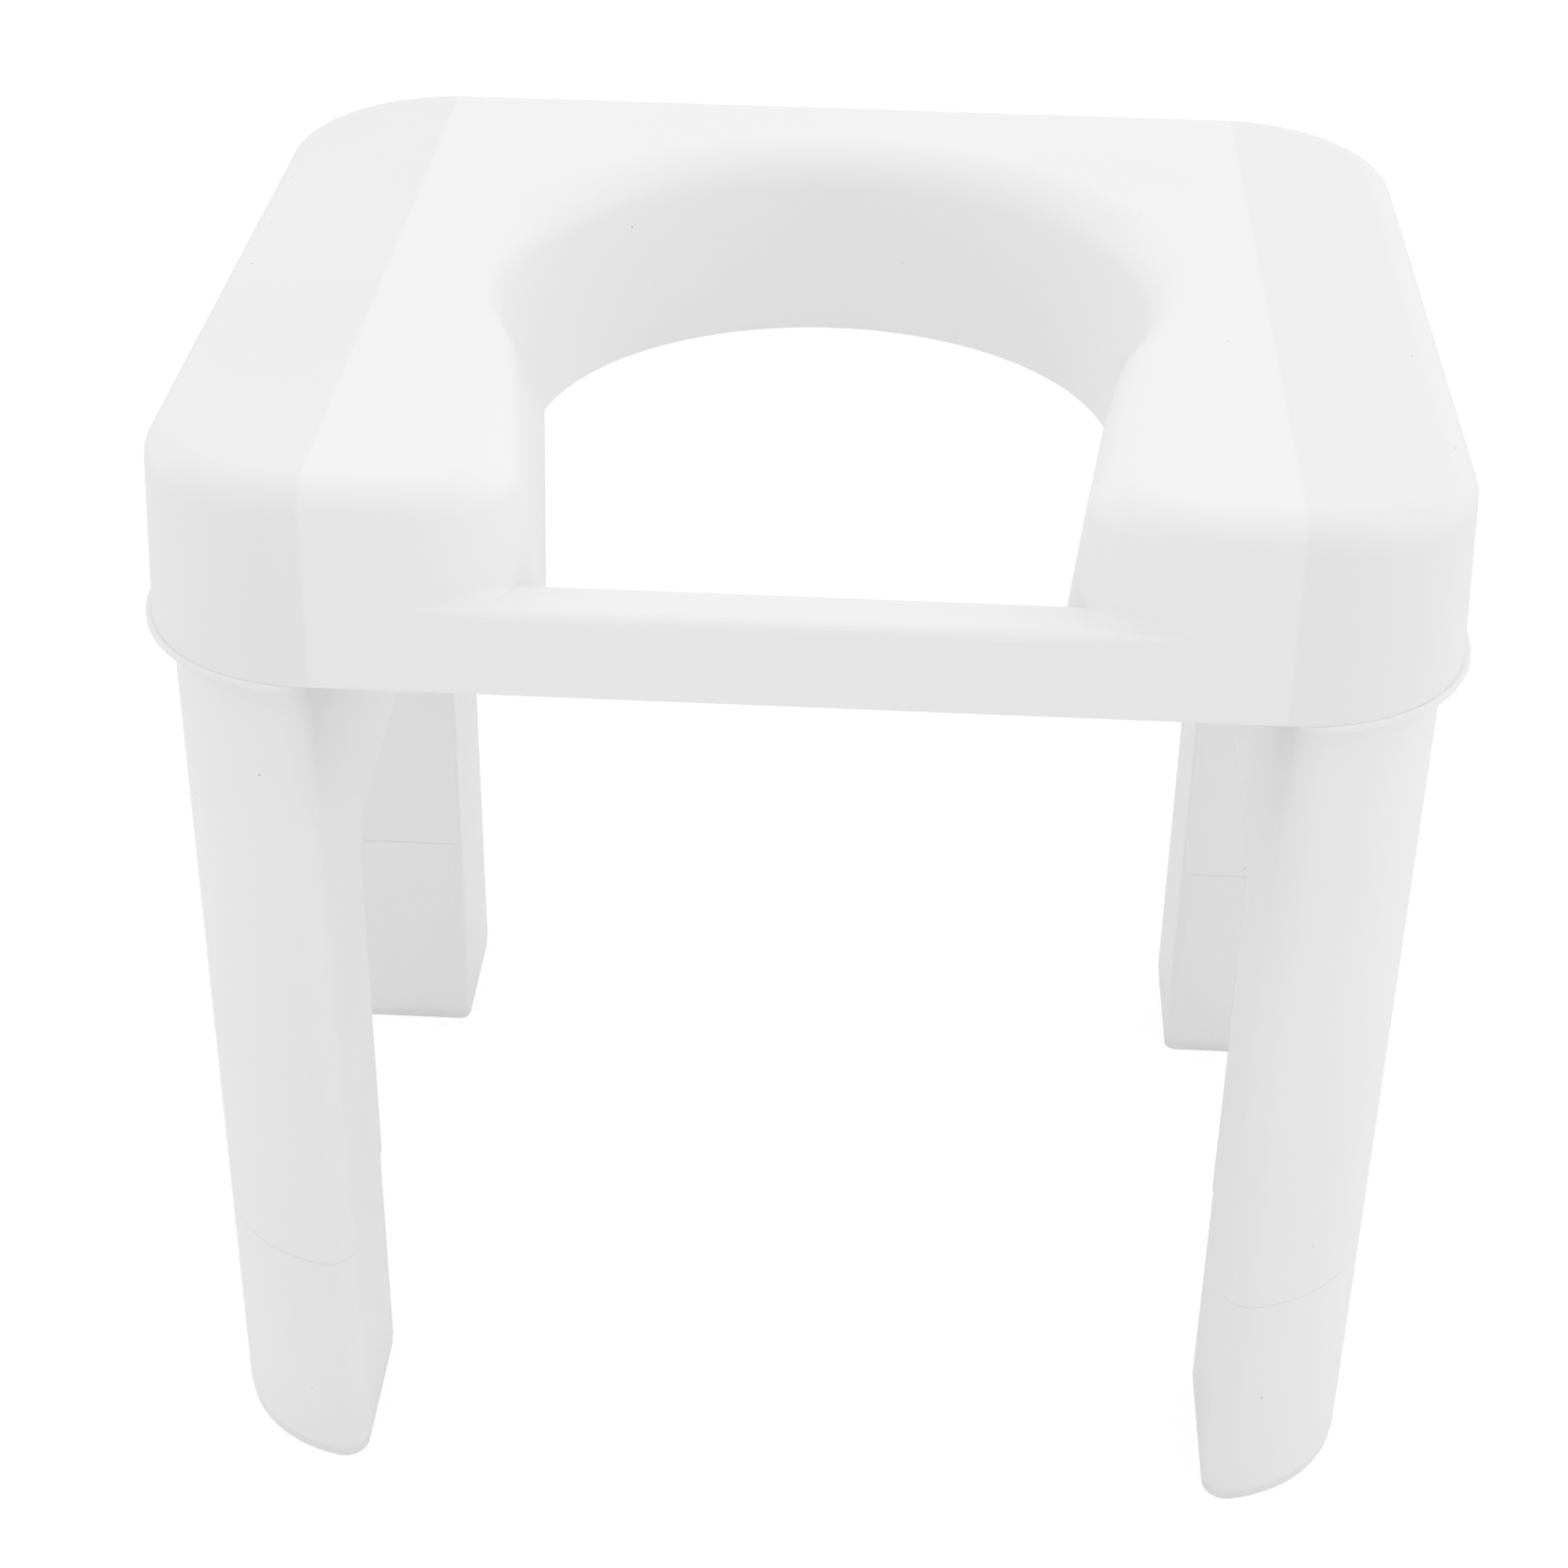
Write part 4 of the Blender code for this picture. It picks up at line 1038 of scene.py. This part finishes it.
def moulded_white(name, tones, sheen, grain_cells, grain_height, specks):
    """White plastic with drifting tone, uneven sheen, fine grain and a few specks."""
    material = bpy.data.materials.new(name)
    material.use_nodes = True
    tree = material.node_tree
    shader = tree.nodes["Principled BSDF"]
    shader.inputs["IOR"].default_value = POLYPROPYLENE_IOR
    place = tree.nodes.new("ShaderNodeTexCoord").outputs["Object"]

    wander = noise(tree, place, DRIFT_CELLS, 2.0, (-900, 400))
    drift = stretch(tree, wander, *DRIFT_RANGE, 0.0, 1.0, (-700, 400))
    tone = mix_colour(tree, drift, grey(tones[0]), grey(tones[1]), (-500, 400))
    cells = add_node(tree, "ShaderNodeTexVoronoi", (-900, 150), Scale=SPECK_CELLS, Randomness=1.0)
    tree.links.new(place, cells.inputs["Vector"])
    speck = stretch(tree, cells.outputs["Distance"], *SPECK_RIM, specks, 0.0, (-700, 150))
    tone = mix_colour(tree, speck, tone, SPECK_BROWN, (-300, 400))
    tree.links.new(tone, shader.inputs["Base Color"])

    cloud = noise(tree, place, CLOUD_CELLS, 3.0, (-900, -100))
    satin = stretch(tree, cloud, *CLOUD_RANGE, *sheen, (-700, -100))
    tree.links.new(satin, shader.inputs["Roughness"])

    grain = noise(tree, place, grain_cells, 2.0, (-900, -350))
    swell = noise(tree, place, SWELL_CELLS, 1.0, (-900, -550))
    fine = add_node(tree, "ShaderNodeBump", (-500, -350), Strength=1.0, Distance=grain_height)
    broad = add_node(tree, "ShaderNodeBump", (-300, -450), Strength=1.0, Distance=SWELL_HEIGHT)
    tree.links.new(grain, fine.inputs["Height"])
    tree.links.new(swell, broad.inputs["Height"])
    tree.links.new(fine.outputs["Normal"], broad.inputs["Normal"])
    tree.links.new(broad.outputs["Normal"], shader.inputs["Normal"])
    return material


seat_white = moulded_white("seat_white", tones=(0.926, 0.912), sheen=(0.34, 0.44),
                           grain_cells=1400.0, grain_height=0.000012, specks=0.8)
leg_white = moulded_white("leg_white", tones=(0.912, 0.897), sheen=(0.38, 0.48),
                          grain_cells=1400.0, grain_height=0.000012, specks=0.8)
pad_white = moulded_white("pad_white", tones=(0.880, 0.860), sheen=(0.68, 0.80),
                          grain_cells=700.0, grain_height=0.00003, specks=0.5)
print("materials:", seat_white.name, leg_white.name, pad_white.name)

# %% [markdown]
# ## Painted shade over the plugs
# The moulding is thin and a little see-through, so the seat's middle looks paler than its
# sides: under the sides stand the plugs of the two leg frames, which keep light from shining
# through. This shade is painted into the colour: outside each crease the white is made a
# little darker, a straight, faint edge down each side of the top and over the front of the skirt.

# %% Painted shade on the sides
PAINTED_PLUG_SHADE = 0.958
PAINTED_SHADE_FADE = 0.0008

tree = seat_white.node_tree
shader = tree.nodes["Principled BSDF"]
pale = shader.inputs["Base Color"].links[0].from_socket
spot = tree.nodes.new("ShaderNodeSeparateXYZ")
tree.links.new(tree.nodes.new("ShaderNodeTexCoord").outputs["Object"], spot.inputs[0])
aside = tree.nodes.new("ShaderNodeMath")
aside.operation = "ABSOLUTE"
tree.links.new(spot.outputs["X"], aside.inputs[0])
fade = (CREASE_X - PAINTED_SHADE_FADE, CREASE_X + PAINTED_SHADE_FADE)
plug_shade_mask = stretch(tree, aside.outputs[0], *fade, 0.0, 1.0, (-300, 700))
# Painted shade: outside each crease the white is multiplied a little darker, where the plugs keep
# light from shining through.
darker = mix_colour(tree, plug_shade_mask, pale, grey(PAINTED_PLUG_SHADE), (-100, 500), "MULTIPLY")
tree.links.new(darker, shader.inputs["Base Color"])
print("sides", round(100 * (1 - PAINTED_PLUG_SHADE), 1), "percent darker from", round(1000 * CREASE_X, 1), "mm")

# %% [markdown]
# ## Hanging it together
# Each new piece stands for its node of the imported model, which is hidden, rides on the body
# that carries that node, and wears the white made for it above. So the leg pieces follow the
# frames when these are pulled down out of the seat.

# %% Ride and finish
def dress(piece, node, body, finish):
    """Let a piece stand for a node, ride on its body and wear its finish."""
    piece.data.materials.clear()
    piece.data.materials.append(finish)
    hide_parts(node)
    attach(piece, body)


dress(seat, "seat", "seat", seat_white)
for side, arch in (("left", frame_left), ("right", frame_right)):
    dress(arch, side + "_leg_frame", side + "_leg", leg_white)
    for end in ("front", "rear"):
        leg = end + "_" + side
        dress(shoes[leg], leg + "_foot", side + "_leg", leg_white)
        dress(treads[leg], leg + "_pad", side + "_leg", pad_white)

# %% [markdown]
# ## White floor and a weak lamp
# The photograph is high-key: white plastic on pure white, lit from all round, so that only the
# faces turned to the camera go a little grey. Nearly all that light comes from the room, in
# the next cell, and one wide, weak lamp above the front adds a trace of direction. The floor
# is white paper: for the camera it is nearly all glow, with a little real light left in it so
# that the stool's faint shadow stays. For every other ray it is plain matt paper.

# %% Floor and lamp
FLOOR_SIZE = 12.0
PAPER = 0.90
GLOW = 1.04
GLOW_SHARE = 0.88
LAMP_PLACE = Vector((0.0, -0.9, 1.8))
LAMP_AIM = Vector((0.0, 0.0, 0.3))
LAMP_SIZE = 1.2
LAMP_WATTS = 0.5

clear_selection()
bpy.ops.mesh.primitive_plane_add(size=FLOOR_SIZE, location=(0.0, 0.0, 0.0))
floor = bpy.context.object
floor.name = "floor"
paper = bpy.data.materials.new("floor_paper")
paper.use_nodes = True
tree = paper.node_tree
tree.nodes.clear()
ray = tree.nodes.new("ShaderNodeLightPath")
matt = add_node(tree, "ShaderNodeBsdfDiffuse", Color=(*grey(PAPER), 1.0))
glow = add_node(tree, "ShaderNodeEmission", Color=(*grey(1.0), 1.0), Strength=GLOW)
seen = add_node(tree, "ShaderNodeMixShader", Fac=GLOW_SHARE)
tree.links.new(matt.outputs[0], seen.inputs[1])
tree.links.new(glow.outputs[0], seen.inputs[2])
final = tree.nodes.new("ShaderNodeMixShader")
tree.links.new(ray.outputs["Is Camera Ray"], final.inputs["Fac"])
tree.links.new(matt.outputs[0], final.inputs[1])
tree.links.new(seen.outputs[0], final.inputs[2])
sheet = tree.nodes.new("ShaderNodeOutputMaterial")
tree.links.new(final.outputs[0], sheet.inputs["Surface"])
floor.data.materials.append(paper)

light = bpy.data.lights.new("front_overhead", "AREA")
light.shape = "SQUARE"
light.size = LAMP_SIZE
light.energy = LAMP_WATTS
lamp = bpy.data.objects.new("front_overhead", light)
lamp.location = LAMP_PLACE
lamp.rotation_euler = (LAMP_AIM - LAMP_PLACE).to_track_quat("-Z", "Y").to_euler()
bpy.context.scene.collection.objects.link(lamp)
print("lamp of", LAMP_WATTS, "watts,", LAMP_SIZE, "m wide")

# %% [markdown]
# ## Light tent
# The rest of the light comes from the room itself, as in a photographer's white tent. It is
# an even white, a little brighter toward the left and more so toward the right, where larger
# screens must have stood. It is darker toward the front, where the photographer stands, and a
# trace darker toward the rear and above. Each side is a lobe that grows from nothing, square
# to it, to its full strength straight on. Seen by the camera the room is plain white.

# %% Room
TENT_EVEN = 1.06
TENT_SIDES = {
    "left": ("X", -1.0, 0.14),
    "right": ("X", 1.0, 0.24),
    "rear": ("Y", 1.0, -0.16),
    "front": ("Y", -1.0, -0.43),
    "up": ("Z", 1.0, -0.08),
}

room = bpy.data.worlds.new("white_room")
bpy.context.scene.world = room
room.use_nodes = True
tree = room.node_tree
air = tree.nodes["Background"]
air.inputs["Color"].default_value = (*grey(1.0), 1.0)
sky = tree.nodes.new("ShaderNodeTexCoord")
split = tree.nodes.new("ShaderNodeSeparateXYZ")
tree.links.new(sky.outputs["Generated"], split.inputs[0])
total = add_node(tree, "ShaderNodeValue")
total.outputs[0].default_value = TENT_EVEN
for name, (axis, straight_on, strength) in TENT_SIDES.items():
    lobe = stretch(tree, split.outputs[axis], 0.0, straight_on, 0.0, strength, (-600, 0))
    sum_so_far = tree.nodes.new("ShaderNodeMath")
    sum_so_far.name = name
    tree.links.new(total.outputs[0], sum_so_far.inputs[0])
    tree.links.new(lobe, sum_so_far.inputs[1])
    total = sum_so_far
tree.links.new(total.outputs[0], air.inputs["Strength"])

white = add_node(tree, "ShaderNodeBackground", Color=(*grey(1.0), 1.0), Strength=1.0)
ray = tree.nodes.new("ShaderNodeLightPath")
straight_ray = tree.nodes.new("ShaderNodeMath")
straight_ray.operation = "MAXIMUM"
tree.links.new(ray.outputs["Is Camera Ray"], straight_ray.inputs[0])
tree.links.new(ray.outputs["Is Transmission Ray"], straight_ray.inputs[1])
choice = tree.nodes.new("ShaderNodeMixShader")
tree.links.new(straight_ray.outputs[0], choice.inputs["Fac"])
tree.links.new(air.outputs[0], choice.inputs[1])
tree.links.new(white.outputs[0], choice.inputs[2])
tree.links.new(choice.outputs[0], tree.nodes["World Output"].inputs["Surface"])
print("tent", TENT_EVEN, TENT_SIDES)

# %% Finish
bpy.context.scene.view_settings.view_transform = "Standard"
